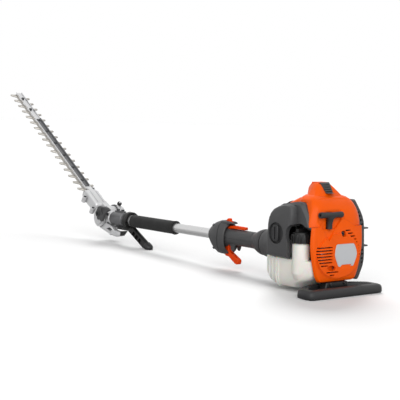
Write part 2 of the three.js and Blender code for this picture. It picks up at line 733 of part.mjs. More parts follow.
/** The fuel tank: a rounded tub under the engine with a filler neck on the left. */
function fuelTank() {
  const rings = [[-73.5, 44, 44, 16], [-71, 40, 32, 8], [-64, 35, 18, 3.5], [-58, 18, 10, 1.5],
    [-52, 7, 6, 0.5], [-42, 0, 2, 0], [tankTop, 0, 0, 0]];
  const tub = loft(rings.map(([z, rear, front, side]) =>
    ovalZ(z, coverFront + 1 + rear, tankFront - front, tankRight + side, tankOuter - side, 7)));
  const neck = solid(new THREE.LatheGeometry([[0, -56], [13, -52], [neckRadius, -41],
    [neckRadius, neckTop - 6], [neckRadius - 3, neckTop - 6], [neckRadius - 3, neckTop + 6],
    [neckRadius - 6, neckTop + 6], [neckRadius - 6, -20], [0, -20]]
    .map(([r, z]) => new THREE.Vector2(r, z)), wideSides).rotateX(Math.PI / 2).translate(neckX, neckY, 0));
  const engineRoom = box(-60, 120, -80, fanRadius + 5.5 + clearance, fanBottom - clearance, 10);
  const bracketRoom = box(-80, bracketFront + clearance, -37, 37, -90, fanBottom - clearance);
  return cut(join(tub, neck), engineRoom, bracketRoom, fillerBore());
}

function fillerBore() {
  return uprightPin(neckX, neckY, -20, neckTop + 10, neckRadius - 6, roundSides);
}

/** The screwed filler cap: ribbed rim, domed top and a grip bar. */
function fuelCap() {
  const lobes = 16;
  const rim = Array.from({ length: lobes * 2 }, (_, i) => {
    const radius = capRadius - (i % 2) * 1.4;
    const angle = (Math.PI * i) / lobes;
    return [radius * Math.cos(angle), radius * Math.sin(angle)];
  });
  const skirt = plateZ(rim, neckTop - 4, neckTop + 14).translate([neckX, neckY, 0]);
  const dome = solid(new THREE.LatheGeometry([[0, neckTop + 13], [17, neckTop + 13],
    [16, neckTop + 17], [12.5, neckTop + 19], [0, neckTop + 19]]
    .map(([r, z]) => new THREE.Vector2(r, z)), roundSides).rotateX(Math.PI / 2).translate(neckX, neckY, 0));
  const bar = box(neckX - 3.5, neckX + 3.5, neckY - 12, neckY + 12, neckTop + 17, neckTop + 25);
  const thread = uprightPin(neckX, neckY, neckTop - 6, neckTop + 6 + clearance,
    neckRadius - 3 + clearance, roundSides);
  const shoulder = uprightPin(neckX, neckY, neckTop - 8, neckTop - 6 + clearance,
    neckRadius + clearance, roundSides);
  return cut(join(skirt, dome, bar), thread, shoulder);
}

// ---------------------------------------------------------------- foot

const footHalf = 106;
const footThick = 18;
const footRear = -82;

/** The wide ground plate, with a thick rounded rim and a dished middle. */
function foot() {
  const z = -footDrop;
  const plan = (inset) => [[footRear + inset, footHalf - inset, 13],
    [footRear + inset, -footHalf + inset, 13], [-38 - inset, -footHalf + inset, 16],
    [-4 - inset, -52, 30], [-4 - inset, 52, 30], [-38 - inset, footHalf - inset, 16]];
  const body = plateZ(plan(0), z - 6, z + footThick, 9, 3);
  const dish = plateZ(plan(18), z + 7, z + footThick + 6);
  return cut(body, dish, underGround());
}

const bracketFront = -28;

/** The bracket that carries the housing on the foot. */
function footBracket() {
  const base = -footDrop + 7 + clearance;
  const top = housingBottom - clearance;
  const column = plateX([[-36, base, 3], [36, base, 3], [30, top, 2], [-30, top, 2]],
    coverRear, bracketFront - 2, 2);
  const seatTop = fanBottom - clearance;
  const seat = box(coverFront + clearance, bracketFront - 3, -24, 24, housingBottom - 4, seatTop);
  const pad = plateZ([[-58, -40, 4], [-58, 40, 4], [bracketFront, 40, 4], [bracketFront, -40, 4]],
    base, base + 4);
  return join(column, seat, pad);
}

// ---------------------------------------------------------------- clutch, cone and rear handle

function clutchHousing() {
  const skin = solid(turned([[caseFront + clearance, 0], [caseFront + clearance, 47],
    [110, 47.5], [118, 45], [130, 38.5], [143, 34.5], [155, 32.7], [dampX - 6, 32], [dampX - 2, 30.5],
    [dampX - 2, 0]], wideSides));
  return cut(skin, solid(rod(100, 127, 36)), solid(rod(100, 200, tubeRadius + clearance)));
}

function dampRing() {
  return solid(sleeve(dampX - 2 + clearance, dampX + 2 + clearance, 27.5, tubeRadius + clearance));
}

function clutchCone() {
  const bore = tubeRadius + clearance;
  return solid(turned([[dampX + 3, bore], [dampX + 3, 28.5], [dampX + 6, 29.5],
    [dampX + 11, 29.6], [dampX + 18, 27.7], [dampX + 26, 24.6], [dampX + 33, 21.2],
    [dampX + 38, 19.6], [coneFront, 19.3], [coneFront, bore], [dampX + 3, bore]], wideSides));
}

/** The solid form of the rear grip, before it is split and hollowed. */
function gripForm() {
  return loft([
    ovalX(coneFront + clearance, 0, -19.3, 19.3, gripRadius + 0.8, 2.2),
    ovalX(coneFront + 10, 0, -18.8, 19.3, gripRadius, 2.2),
    ovalX(290, 0, -19, 19.3, gripRadius, 2.2),
    ovalX(304, 0, -20.5, 19.8, gripRadius + 0.4, 2.2),
    ovalX(308, 0, -24, 20.6, gripRadius + 0.8, 2.2),
    ovalX(gripFront - clearance, 0, -26, 21.4, gripRadius + 1.5, 2.2)]);
}

const triggerX = 311;
const triggerZ = -17;
const triggerPin = 2;
const lockX = 307.5;
const lockZ = 16.4;
const lockPin = 1.5;
const triggerHalf = 6;

function gripUpper() {
  const below = box(200, 400, -50, 50, -60, -2 + clearance);
  const lockBed = box(244.5, 400, -5.5, 5.5, 14.2, 40);
  const pinHole = crossPin(lockX, lockZ, -8, 8, lockPin + clearance, smallSides);
  return cut(gripForm(), below, solid(rod(200, 400, tubeRadius + clearance)), lockBed, pinHole);
}

function gripLower() {
  const above = box(200, 400, -50, 50, -2, 60);
  const triggerBay = box(triggerX - 14, 400, -triggerHalf - 1, triggerHalf + 1, -60,
    -tubeRadius - 1.5);
  const rests = [-1, 1].map((side) => plateY([[276, -14, 2], [294, -14, 2],
    [289, -30, 3], [282, -33, 3], [278, -24, 4]],
  side * 9.3 - 1.5, side * 9.3 + 1.5));
  const pinHole = crossPin(triggerX, triggerZ, -11, 11, triggerPin + clearance, smallSides);
  return cut(join(cut(gripForm(), above), ...rests), triggerBay, pinHole,
    solid(rod(200, 400, tubeRadius + clearance)));
}

/** The hand guard's form: a tall dome that narrows to the tube at the front. */
function guardForm() {
  const ring = (x, z0, z1, half, power) => ovalX(x, 0, z0, z1, half, power);
  return loft([ring(guardRim, -40, 30, 23.5, 2.4), ring(guardRim + 2, -41.5, 32, 25, 2.4),
    ring(318, -43, 36, 26, 2.4), ring(guardSplit, -43.5, 37.5, 26, 2.3),
    ring(338, -43, 36.5, 26, 2.2), ring(348, -38.5, 33.5, 25, 2.1), ring(357, -32, 29, 22.5, 2),
    ring(365, -24.5, 24, 19.5, 2), ring(371, -18, 18.5, 16.5, 2),
    ring(guardFront, -14.5, 14.5, 14.2, 2)]);
}

/** The hollow behind the guard's rear wall, which the grip runs into. */
function guardHollow() {
  const wall = 3;
  const ring = (x) => ovalX(x, 0, -39 + wall, 30 - wall, 24.5 - wall, 2.4);
  return loft([ring(guardRim - 2), ring(gripFront)]);
}

function guardRearShell() {
  const ahead = box(guardSplit - clearance, 500, -60, 60, -80, 80);
  const shelf = loft([ovalX(288, 0, 31, 33.5, 7, 3), ovalX(296, 0, 30, 36, 11, 3),
    ovalX(324, 0, 24, 38, 15, 3)]);
  const switchBed = box(280, 322, -5.3, 5.3, 33.2, 60);
  const lockRoof = box(240, gripFront + 8, -5.8, 5.8, 0, 29.5);
  const triggerBay = box(triggerX - 22, gripFront + 9, -triggerHalf - 1, triggerHalf + 1, -80,
    -tubeRadius - 1.5);
  const behind = box(200, guardRim, -60, 60, -80, 29.7);
  return cut(join(cut(guardForm(), behind), shelf), ahead, switchBed, lockRoof, triggerBay,
    behind, guardHollow(), solid(rod(200, 500, tubeRadius + clearance)));
}

function guardFrontShell() {
  const behind = box(200, guardSplit, -60, 60, -80, 80);
  return cut(guardForm(), behind, solid(rod(200, 500, tubeRadius + clearance)));
}

/** The throttle trigger: a knuckle inside the guard and a ribbed tongue behind it. */
function throttleTrigger() {
  const side = [[303, -15, 3], [315, -15, 4], [323, -34, 12], [318, -47, 7], [307, -46, 4],
    [281, -62, 4], [270, -63, 7], [268, -51, 5], [306, -33, 4]];
  const body = plateY(side, -triggerHalf, triggerHalf, 1.4);
  const ribs = [];
  for (let i = 0; i < 5; i += 1) {
    const groove = new THREE.BoxGeometry(1.8, 9, 2.4);
    const [x, z] = [278 + 5.2 * i, -46.2 + 2.46 * i];
    ribs.push(solid(moved(groove, x, 0, z, [0, -0.44, 0])));
  }
  const pin = crossPin(triggerX, triggerZ, -10.5, 10.5, triggerPin, smallSides);
  return join(cut(body, ...ribs), pin);
}

/** The throttle lock: a long lever along the top of the grip. */
function throttleLock() {
  const side = [[252.5, 19.9, 0.6], [248, 19.9, 1], [246.5, 26.8, 2.2], [290, 27.3, 6],
    [312, 24.5, 2], [312, 19.9, 1]];
  const lug = box(lockX - 3, lockX + 3, -4.9, 4.9, lockZ - 1.6, 21);
  const pin = crossPin(lockX, lockZ, -7.5, 7.5, lockPin, smallSides);
  return join(plateY(side, -4.9, 4.9, 0.9), lug, pin);
}

function stopSwitch() {
  const base = box(302, 317, -4.9, 4.9, 33.2 + clearance, 37);
  const tab = plateY([[306, 35, 1], [306, 42, 1.6], [311, 43.5, 1.6], [317, 39, 1.5],
    [317, 35, 1]], -4.9, 4.9, 0.8);
  return join(base, tab);
}

// ---------------------------------------------------------------- tube, front grip and adjusting handle

function driveTube() {
  return solid(sleeve(dampX - 8, collarFront - 4, tubeRadius, tubeRadius - tubeWall));
}

function frontGrip() {
  const inner = tubeRadius + clearance;
  const soft = 2.5;
  return solid(turned([[foamRear, inner], [foamRear, foamRadius - soft],
    [foamRear + soft, foamRadius], [foamFront - soft, foamRadius],
    [foamFront, foamRadius - soft], [foamFront, inner], [foamRear, inner]]));
}

/** The leg's frame: local X runs down the leg, local Z out of its back. */
function legFrame(geometry) {
  return geometry.scale(1, 1, -1).rotateY(Math.PI - legSlope).translate(ringX - 3, 0, -legRootDrop);
}

function legPoint(x, y, z) {
  return new THREE.Vector3(x, y, -z).applyAxisAngle(new THREE.Vector3(0, 1, 0), Math.PI - legSlope)
    .add(new THREE.Vector3(ringX - 3, 0, -legRootDrop)).toArray();
}

/** The adjusting handle: a ring on the tube, with a pocketed leg that ends near the ground. */
function adjustHandle() {
  const ring = solid(sleeve(ringX - ringWidth / 2, ringX + ringWidth / 2, ringRadius,
    foamRadius + 1.5));
  const seat = solid(sleeve(ringX + 1, ringX + ringWidth / 2, ringRadius - 2,
    tubeRadius + clearance));
  const web = box(ringX + 2, collarRear + 34, -7, 7, -collarRadius - 9, -collarRadius - clearance);
  const half = legWidth / 2;
  const section = [[-half, -9, 2], [half, -9, 2], [half, 1, 7], [4, 9, 5], [-4, 9, 5], [-half, 1, 7]];
  const bar = roundedPlate(section, 4, legEnd, 0, 1, 3, (y, z, x) => legPoint(x, y, z));
  const pockets = [];
  for (let i = 0; i < 3; i += 1) {
    const pocket = new THREE.BoxGeometry(12, 7.5, 11).translate(32 + 16.5 * i, half - 1.5, -1.5);
    pockets.push(solid(legFrame(pocket)));
  }
  const teeth = [];
  for (let i = 0; i < 6; i += 1) {
    const notch = new THREE.BoxGeometry(4, legWidth + 4, 3).translate(20 + 11 * i, 0, -10);
    teeth.push(solid(legFrame(notch)));
  }
  const clearFoam = solid(rod(500, ringX - ringWidth / 2 + 0.4, foamRadius + 2, wideSides));
  const clearTube = solid(rod(500, 800, tubeRadius + clearance));
  const clearGrip = solid(rod(500, foamFront + clearance + 1, foamRadius + 1.5, wideSides));
  return cut(join(ring, seat, web, cut(bar, ...pockets, ...teeth)),
    clearFoam, clearGrip, clearTube);
}

/** The leg's rounded end cap, which stands on the ground. */
function legCap() {
  const half = legWidth / 2 + 0.6;
  const start = legEnd + clearance;
  const ring = (x, shrink) => Array.from({ length: 20 }, (_, i) => {
    const angle = (2 * Math.PI * i) / 20;
    const [c, s] = [Math.cos(angle), Math.sin(angle)];
    return [x, (half - shrink) * Math.sign(c) * Math.abs(c) ** 0.8,
      (10 - shrink * 0.8) * Math.sign(s) * Math.abs(s) ** 0.8 - 0.3];
  });
  const rings = [[start, 0], [start + 11, 0], [start + 16, 1.2], [start + 20, 4], [start + 22, 7.5]]
    .map(([x, shrink]) => ring(x, shrink).map(([a, b, c]) => legPoint(a, b, c)));
  return cut(loft(rings), underGround());
}

// ---------------------------------------------------------------- gear head, shaft side

function collar() {
  const body = solid(turned([[collarRear, tubeRadius + clearance], [collarRear, collarRadius - 1.5],
    [collarRear + 1.5, collarRadius], [collarFront - 1.5 - clearance, collarRadius],
    [collarFront - clearance, collarRadius - 1.5], [collarFront - clearance, tubeRadius + clearance],
    [collarRear, tubeRadius + clearance]]));
  const ears = box(collarRear + 6, collarFront - 8, -5, 5, collarRadius - 3, collarRadius + 3.5);
  const slit = box(collarRear - 1, collarFront + 1, -1, 1, 5, collarRadius + 8);
  const screws = collarScrewX.map((x) => uprightPin(x, 0, 17, 40, 2.9));
  return cut(join(body, cut(ears, solid(rod(collarRear, collarFront, 14)))), slit, ...screws);
}

const collarScrewX = [collarRear + 16, collarFront - 18];

function collarScrew(x) {
  const seat = collarRadius + 3.5 + clearance;
  return solid(new THREE.LatheGeometry([[0, 17.5], [2.5, 17.5], [2.5, seat], [4.6, seat],
    [4.6, seat + 4], [0, seat + 4]].map(([r, z]) => new THREE.Vector2(r, z)), smallSides)
    .rotateX(Math.PI / 2).translate(x, 0, 0));
}

/** Shaft-side gear housing: a neck and the near drum of the tilting joint. */
function gearHousing() {
  const neckRadius1 = 20;
  const neckEnd = pivotX - farDrumRadius - runningGap;
  const neck = solid(turned([[collarFront, 0], [collarFront, neckRadius1 - 1.5],
    [collarFront + 1.5, neckRadius1], [neckEnd, neckRadius1], [neckEnd, 0]], wideSides));
  const throat = solid(turned([[neckEnd - 2, 0], [neckEnd - 2, neckRadius1], [pivotX - 6, 19],
    [pivotX - 6, 0]], wideSides));
  const keepLeft = box(700, 1000, runningGap / 2, 60, -60, 60);
  const drum = crossPin(pivotX, 0, runningGap / 2, drumHalf, nearDrumRadius, wideSides);
  const rim = crossPin(pivotX, 0, drumHalf - 0.5, drumHalf + 2, nearDrumRadius - 7);
  const carrier = plungerCarrier();
  const tubeSeat = solid(rod(700, collarFront + 1, tubeRadius - clearance));
  const shaftBore = solid(rod(700, collarFront + 10, 6));
  return cut(join(neck, throat.intersect(keepLeft), drum, rim, carrier), tubeSeat, shaftBore,
    pivotBore(), farDrumRoom(), plungerBore());
}

function pivotBore() {
  return crossPin(pivotX, 0, -60, 60, 8 + clearance);
}

function farDrumRoom() {
  return join(
    crossPin(pivotX, 0, -60, runningGap / 2 - 0.01, farDrumRadius + runningGap),
    crossPin(pivotX, 0, -31.9, -23, indexRadius + runningGap));
}

/** A point on the plunger's line, at a distance from the pivot. */
function onPlunger(distance) {
  return [pivotX + distance * Math.cos(plungerAngle), distance * Math.sin(plungerAngle)];
}

const plungerY = -27.5;

function plungerPin(from, to, radius, segments = smallSides) {
  const geometry = new THREE.CylinderGeometry(radius, radius, to - from, segments);
  const [x, z] = onPlunger((from + to) / 2);
  return solid(moved(geometry.rotateX(Math.PI / 2).rotateY(Math.PI / 2 - plungerAngle), x, plungerY, z));
}

/** The lug on the neck that guides the index plunger. */
function plungerCarrier() {
  const block = plungerPin(indexRadius + 2, indexRadius + 8, 5.5);
  const arm = loft([[collarFront + 4, 10], [collarFront + 12, 12]].map(([x, h]) =>
    [[x, -12, 8], [x, -33, h + 6], [x, -33, h + 17], [x, -12, 19]]));
  const reach = loft([[collarFront + 6, 14, 26], [collarFront + 27, 25, 34]].map(([x, low, high]) =>
    [[x, -24, low], [x, -33.5, low], [x, -33.5, high], [x, -24, high]]));
  return join(block, arm, reach);
}

function plungerBore() {
  return plungerPin(indexRadius - 6, indexRadius + 30, 2.2 + clearance);
}

function indexPlunger() {
  return plungerPin(indexRadius + 0.4, indexRadius + 17, 2.2);
}

function plungerKnob() {
  const geometry = new THREE.LatheGeometry([[2.4 + clearance, 0], [5.6, 0], [6.4, 2], [6.4, 6],
    [5, 7.5], [2.4 + clearance, 7.5], [2.4 + clearance, 0]]
    .map(([r, z]) => new THREE.Vector2(r, z)), roundSides);
  const [x, z] = onPlunger(indexRadius + 9);
  return solid(moved(geometry.rotateX(Math.PI / 2).rotateY(Math.PI / 2 - plungerAngle), x, plungerY, z));
}

/** The cast bracket under the gear housing. */
function lowerBracket() {
  const side = [[882, -25, 1], [874, -31, 4], [845, -38, 6], [818, -45, 5],
    [786, -48.5, 8], [766.5, -44, 3], [766.5, -34, 1], [800, -31, 4], [812, -22, 3], [840, -12, 2]];
  const body = plateY(side, 2, 18, 2, 1, 3);
  const hub = cut(crossPin(pivotX, 0, 2, 18, nearDrumRadius + clearance, wideSides));
  const throat = solid(turned([[810, 0], [810, 20 + clearance], [840, 20 + clearance],
    [pivotX - 6, 19 + clearance], [pivotX, 19 + clearance], [pivotX, 0]], wideSides));
  const window = plateY([[806, -30, 2], [820, -25, 2], [838, -29, 2], [818, -36, 2]],
    6, 30);
  const collarRoom = solid(rod(740, collarFront, collarRadius + clearance));
  const web = box(700, 805, -8, 8, -60, -collarRadius - 9 + 9.3).intersect(
    box(700, collarRear + 34.6, -8, 8, -collarRadius - 9.6, 0));
  const boltLug = crossPin(812, -41, 18 - 0.5, 21, 5, smallSides);
  return cut(join(body, boltLug), hub, throat, window, collarRoom, web);
}

function bracketCap() {
  const side = [[766.2, -44, 1], [766.2, -33.8, 1], [761, -30, 1], [750, -29.5, 2]];
  return plateY(side, 2, 18, 1);
}

const leverX = 858;
const leverZ = 12;

/** The dark lock lever on the drum's left face. */
function lockLever() {
  const side = [[860, 32, 5], [812, 32, 7], [796, 25, 3], [812, 19, 6], [827, 9, 8],
    [836, -9, 3], [848, -10, 3], [858, -2, 6], [874, 4, 3], [870, 20, 8]];
  const face = drumHalf + 2 + clearance;
  const body = plateY(side, face, face + 7, 2);
  const hub = crossPin(leverX, leverZ, face + 2, face + 10, 8.5);
  const pocket = plateY([[843, 27, 3], [818, 28, 3], [826, 20, 3], [838, 8, 3]],
    face + 4.5, face + 12);
  return cut(join(body, hub), pocket, crossPin(leverX, leverZ, 0, 60, 2.6 + clearance, smallSides));
}

function leverScrew() {
  const face = drumHalf + 2;
  const head = crossPin(leverX, leverZ, face + 10 + 2 * clearance, face + 13, 5, smallSides);
  const shank = crossPin(leverX, leverZ, face - 8, face + 10 + 2 * clearance, 2.6, smallSides);
  const socket = crossPin(leverX, leverZ, face + 11.4, face + 16, 2.3, 6);
  return cut(join(head, shank), socket);
}

function leverScrewHole() {
  return crossPin(leverX, leverZ, drumHalf - 7, 60, 2.6 + clearance, smallSides);
}

// ---------------------------------------------------------------- cutter head

function pivotPin() {
  return join(crossPin(0, 0, -drumHalf + 4, drumHalf - 4, 8),
    crossPin(0, 0, -drumHalf + 0.5, -drumHalf + 4.5, 11));
}


const indexInner = -drumHalf - clearance;
const indexOuter = -30.7;

/** The notched plate that sets the cutter's angle. */
function indexPlate() {
  const disc = crossPin(0, 0, indexOuter, indexInner, indexRadius, wideSides);
  const bore = crossPin(0, 0, indexOuter - 1, indexInner + 1, 11 + clearance);
  const notches = [];
  const first = plungerAngle - cutterRise - 4 * indexStep;
  for (let i = 0; i < indexCount; i += 1) {
    const angle = first + i * indexStep;
    const notch = new THREE.BoxGeometry(7, 20, 5).translate(indexRadius, 0, 0);
    notches.push(solid(moved(notch, 0, -27, 0, [0, -angle, 0])));
  }
  return cut(disc, bore, ...notches);
}

const leftBosses = [38, 92];
const rightBosses = [96, 115, 137];
const bossY = 25;
const bossRadius = 6.8;
const flangeTop = 0.3;
const flangeBottom = -12;
const caseFlank = firstTooth - toothRootHalf - strokeHalf - 1.5;

function bossSpots() {
  return [...leftBosses.map((u) => [u, bossY]), ...rightBosses.map((u) => [u, -bossY])];
}

/** The bosses stand above the flange, apart from the one that the teeth pass over. */
function bossTop(u) {
  return u + bossRadius < firstTooth - toothRootHalf ? flangeTop + 4.2 : flangeTop;
}

/** The cutter's gearcase: far drum, ribbed upper case and a flange with screw bosses. */
function cutterGearcase() {
  const roof = [[caseStart, flangeBottom, 2], [caseStart, caseTop, 7],
    [100, caseTop, 14], [caseFlank, 13, 5], [caseFlank, flangeBottom, 2]];
  const upper = plateY(roof, caseRight, caseLeft, 3);
  const noseHalf = barHalf - barWall - clearance;
  const nose = plateY([[98, 8.2, 1], [98, 18.5, 3], [112, 17.5, 6],
    [caseEnd - 3, 12.6, 3], [caseEnd, 8.2, 1]], -noseHalf, noseHalf, 1, 1, 3);
  const flange = plateZ([[caseStart, -22, 4], [caseStart + 2, 21, 6],
    [58, 18, 10], [78, 20, 8], [104, 21, 8], [caseFlank + 12, 14, 8], [142, -10, 8], [146, -24, 7],
    [84, -26, 8], [70, -19, 8], [50, -19, 8]], flangeBottom, flangeTop, 1.2);
  const bosses = bossSpots().map(([u, y]) => uprightPin(u, y, flangeBottom - 1, bossTop(u),
    bossRadius));
  const wells = bossSpots().map(([u, y]) => uprightPin(u, y, bossTop(u) - 4.5, 20, 4.4));
  const drum = crossPin(0, 0, -drumHalf, -runningGap / 2, farDrumRadius, wideSides);
  const web = plateY([[-4, flangeBottom - 6, 4], [-4, caseTop + 3, 6],
    [50, caseTop - 0.5, 2], [43, flangeBottom, 1], [14, flangeBottom - 10, 8]], caseRight,
  -runningGap / 2, 0, 1, 3);
  const mouth = box(90, 200, -toothRoot - 1, toothRoot + 1, bladeLevel - 2 * knifeThick - 0.9, 8.2);
  const aboveBar = box(caseFlank - 6, 200, -barHalf - 0.6, barHalf + 0.6, 0, bladeLevel + 8.2);
  const nearDrumRoom = crossPin(0, 0, -runningGap / 2, 60, nearDrumRadius + runningGap, wideSides);
  const pinBore = join(crossPin(0, 0, -60, 60, 8 + clearance),
    crossPin(0, 0, -60, -drumHalf + 4.5 + clearance, 11 + clearance));
  const ribs = [-9, 9].map((y) => plateY([[40, caseTop - 2, 1], [44, caseTop + 2.2, 2],
    [94, caseTop + 2.2, 6], [104, caseTop - 2, 1]], y - 1.4, y + 1.4));
  let body = join(upper, flange, ...bosses, drum, web, ...ribs);
  body = cut(body, aboveBar, mouth);
  body = join(body, nose);
  return cut(body, nearDrumRoom, pinBore, barRoom(), ...wells);
}

/** Room for the guide bar between the nose and the knives. */
function barRoom() {
  const half = barHalf + clearance;
  const low = bladeLevel + clearance - 0.01;
  return box(90, 200, -half, half, low, low + barThick + clearance);
}

function caseCover() {
  const side = [[44, -15, 6], [44, 15, 6], [104, 16, 12], [112, 0, 8], [104, -18, 12]];
  const cover = plateZ(side, flangeBottom - 4, flangeBottom - clearance, 1.2, 1, 3);
  const gearDome = uprightPin(76, 0, flangeBottom - 8, flangeBottom - 3, 11, roundSides);
  return join(cover, gearDome);
}

// ---------------------------------------------------------------- blades

const lowerKnifeTop = bladeLevel - knifeThick - clearance;

function boltStations() {
  return Array.from({ length: boltCount }, (_, i) => firstBolt + i * boltPitch);
}

/** One knife's corners, with raked teeth down both sides. */
function knifeCorners() {
  const rake = 5;
  const start = 100;
  const end = firstTooth + (toothCount - 1) * toothPitch + 11;
  const left = [[start, toothRoot - 1]];
  const right = [[start, -toothRoot + 1]];
  const tooth = (line, u, side) => line.push(
    [u - toothRootHalf, side * toothRoot],
    [u - toothTipHalf + rake * 0.8, side * toothReach],
    [u + toothTipHalf * 0.6 + rake, side * (toothReach - 0.6)],
    [u + toothRootHalf, side * toothRoot]);
  for (let i = 0; i < toothCount; i += 1) {
    tooth(left, firstTooth + i * toothPitch, 1);
    if (i < toothCount - 1) tooth(right, firstTooth + (i + toothPhase) * toothPitch, -1);
  }
  return [...left, [end, toothRoot * 0.7], [end + 4, 0], [end, -toothRoot * 0.7],
    ...right.reverse()].reverse();
}

/** A knife between two heights; the teeth are ground to a bevel on its `ground` face. */
function knife(low, high, ground) {
  const grind = 0.9;
  const corners = knifeCorners();
  const flat = corners.map(([u, y]) => [u, y]);
  const levels = ground === 'top' ? [[low, 0], [high, grind]] : [[low, grind], [high, 0]];
  const rings = levels.map(([height, inset]) => insetCorners(corners, inset)
    .map(([u, y]) => [u, y, height]));
  const half = strokeHalf + 1;
  const slots = boltStations().map((u) => plateZ([[u - half - 3.5, -3.5, 3], [u + half + 3.5, -3.5, 3],
    [u + half + 3.5, 3.5, 3], [u - half - 3.5, 3.5, 3]], low - 1, high + 1, 0, 1, 1));
  return cut(skin(rings, flat), ...slots);
}

/** The guide bar: a channel above the knives, rounded off at the tip. */
function guideBar() {
  const low = bladeLevel + clearance;
  const wall = barWall;
  const section = [[-barHalf, low], [barHalf, low], [barHalf, low + barFlange + barThick],
    [barHalf - wall, low + barFlange + barThick], [barHalf - wall, low + barThick],
    [-barHalf + wall, low + barThick], [-barHalf + wall, low + barFlange + barThick],
    [-barHalf, low + barFlange + barThick]];
  const length = plateX(section, barStart, barEnd);
  const plan = plateZ([[barStart - 1, -barHalf - 1, 1], [barStart - 1, barHalf + 1, 1],
    [barEnd, barHalf + 0.5, 10], [barEnd, -barHalf - 0.5, 10]], low - 1, low + 20, 0, 1, 3);
  const holes = boltStations().map((u) => uprightPin(u, 0, low - 2, low + 6, boltRadius + clearance, 8));
  return cut(length.intersect(plan), ...holes);
}

/** A bar bolt: head in the channel, shank through the knives' slots, nut below. */
function barBolt(u) {
  const top = bladeLevel + 2 * clearance + barThick;
  const bottom = lowerKnifeTop - knifeThick - clearance;
  const profile = [[0, bottom - 4.5], [5.2, bottom - 4.5], [5.2, bottom], [boltRadius, bottom],
    [boltRadius, top], [5.4, top], [5.4, top + 2.4], [4, top + 3.6], [0, top + 3.6]];
  return solid(new THREE.LatheGeometry(profile.map(([r, z]) => new THREE.Vector2(r, z)), 6)
    .rotateX(Math.PI / 2).translate(u, 0, 0));
}

// ---------------------------------------------------------------- starter handle and small pieces

function starterHandle() {
  const stem = loft([[seatZ + clearance, 0, stemHalf, 6], [seatZ + 10, 0, stemHalf, 6],
    [seatZ + 20, 0.5, 5.4, 7.2], [handleBarZ - 4, 1, 5, 12], [handleBarZ, 1, 4.6, 17]]
    .map(([z, share, depth, half]) => {
      const x = handleX + share * (handleBarX - handleX);
      return ovalZ(z, x - depth, x + depth, ropeY - half, ropeY + half, 2.6);
    }));
  const bar = loft([[-0.5, 5.9], [-0.46, 6.5], [-0.3, 5.9], [0, 5.5], [0.3, 5.9], [0.46, 6.5],
    [0.5, 5.9]].map(([share, radius]) => Array.from({ length: roundSides }, (_, i) => {
    const angle = (-2 * Math.PI * i) / roundSides;
    return [handleBarX + radius * Math.cos(angle), ropeY + share * handleBarLength,
      handleBarZ + radius * Math.sin(angle) + 0.9];
  })));
  const ends = [-1, 1].map((side) => solid(moved(new THREE.CylinderGeometry(3, 3, 8, smallSides),
    handleBarX, ropeY + side * handleBarLength / 2, handleBarZ + 0.9)));
  const rope = uprightPin(ropeX, ropeY, 40, seatZ + 8, ropeRadius + clearance, 8);
  return cut(join(stem, bar), rope, ...ends);
}

const ropeRadius = 1.5;

/** The first stretch of the starter rope, straight below the handle. */
function starterRope() {
  return uprightPin(ropeX, ropeY, -30, seatZ + 8 - clearance, ropeRadius, 8);
}

function labelPlate() {
  return plateX(labelOutline(0), coverRear - 3.2, coverRear - 2 - clearance);
}

// ---------------------------------------------------------------- assembly

add(machine, 'starter_cover', starterCover(), orangeShell);
add(machine, 'top_cover', topCover(), orangeShell);
add(machine, 'hump_insert', ribbedInsert(), darkShell);
add(machine, 'fan_housing', fanHousing(), blackPlastic);
add(machine, 'flywheel', flywheel(), castAlloy);
add(machine, 'drive_shaft', driveShaft(), boltSteel);
add(machine, 'crankcase', crankcase(), castAlloy);
add(machine, 'cylinder', cylinder(), castAlloy);
add(machine, 'spark_plug_boot', sparkPlug(), rubber);
add(machine, 'muffler_guard', mufflerGuard(), darkShell);
add(machine, 'muffler', muffler(), boltSteel);
add(machine, 'filter_cover', filterCover(), darkShell);
add(machine, 'filter_knob', filterKnob(), darkShell);
add(machine, 'fuel_tank', fuelTank(), tankPlastic);
add(machine, 'fuel_cap', fuelCap(), blackPlastic);
add(machine, 'foot', foot(), darkShell);
add(machine, 'foot_bracket', footBracket(), blackPlastic);
add(machine, 'clutch_housing', clutchHousing(), darkShell);
add(machine, 'damper_ring', dampRing(), rubber);
add(machine, 'clutch_cone', clutchCone(), darkShell);
add(machine, 'grip_upper', gripUpper(), darkShell);
add(machine, 'grip_lower', gripLower(), darkShell);
add(machine, 'guard_rear', guardRearShell(), darkShell);
add(machine, 'guard_front', guardFrontShell(), darkShell);
add(machine, 'throttle_trigger', throttleTrigger(), redOrange);
add(machine, 'throttle_lock', throttleLock(), redOrange);
add(machine, 'stop_switch', stopSwitch(), redOrange);
add(machine, 'drive_tube', driveTube(), bareTube);
add(machine, 'front_grip', frontGrip(), foam);
add(machine, 'adjust_handle', adjustHandle(), blackPlastic);
add(machine, 'leg_cap', legCap(), darkShell);
add(machine, 'collar', collar(), darkMetal);
collarScrewX.forEach((x, i) => add(machine, `collar_screw_${i + 1}`, collarScrew(x), boltSteel));
add(machine, 'gear_housing', cut(gearHousing(), leverScrewHole()), castAlloy);
add(machine, 'lower_bracket', lowerBracket(), castAlloy);
add(machine, 'bracket_cap', bracketCap(), blackPlastic);
add(machine, 'lock_lever', lockLever(), darkShell);
add(machine, 'lever_screw', leverScrew(), boltSteel);
add(machine, 'index_plunger', indexPlunger(), brightSteel);
add(machine, 'plunger_knob', plungerKnob(), blackPlastic);
add(machine, 'starter_handle', starterHandle(), darkShell);
add(machine, 'starter_rope', starterRope(), foam);
add(machine, 'label_plate', labelPlate(), labelGrey);
add(cutter, 'pivot_pin', pivotPin(), boltSteel);
add(cutter, 'index_plate', indexPlate(), darkMetal);
add(cutter, 'cutter_gearcase', cutterGearcase(), castAlloy);
add(cutter, 'case_cover', caseCover(), castAlloy);
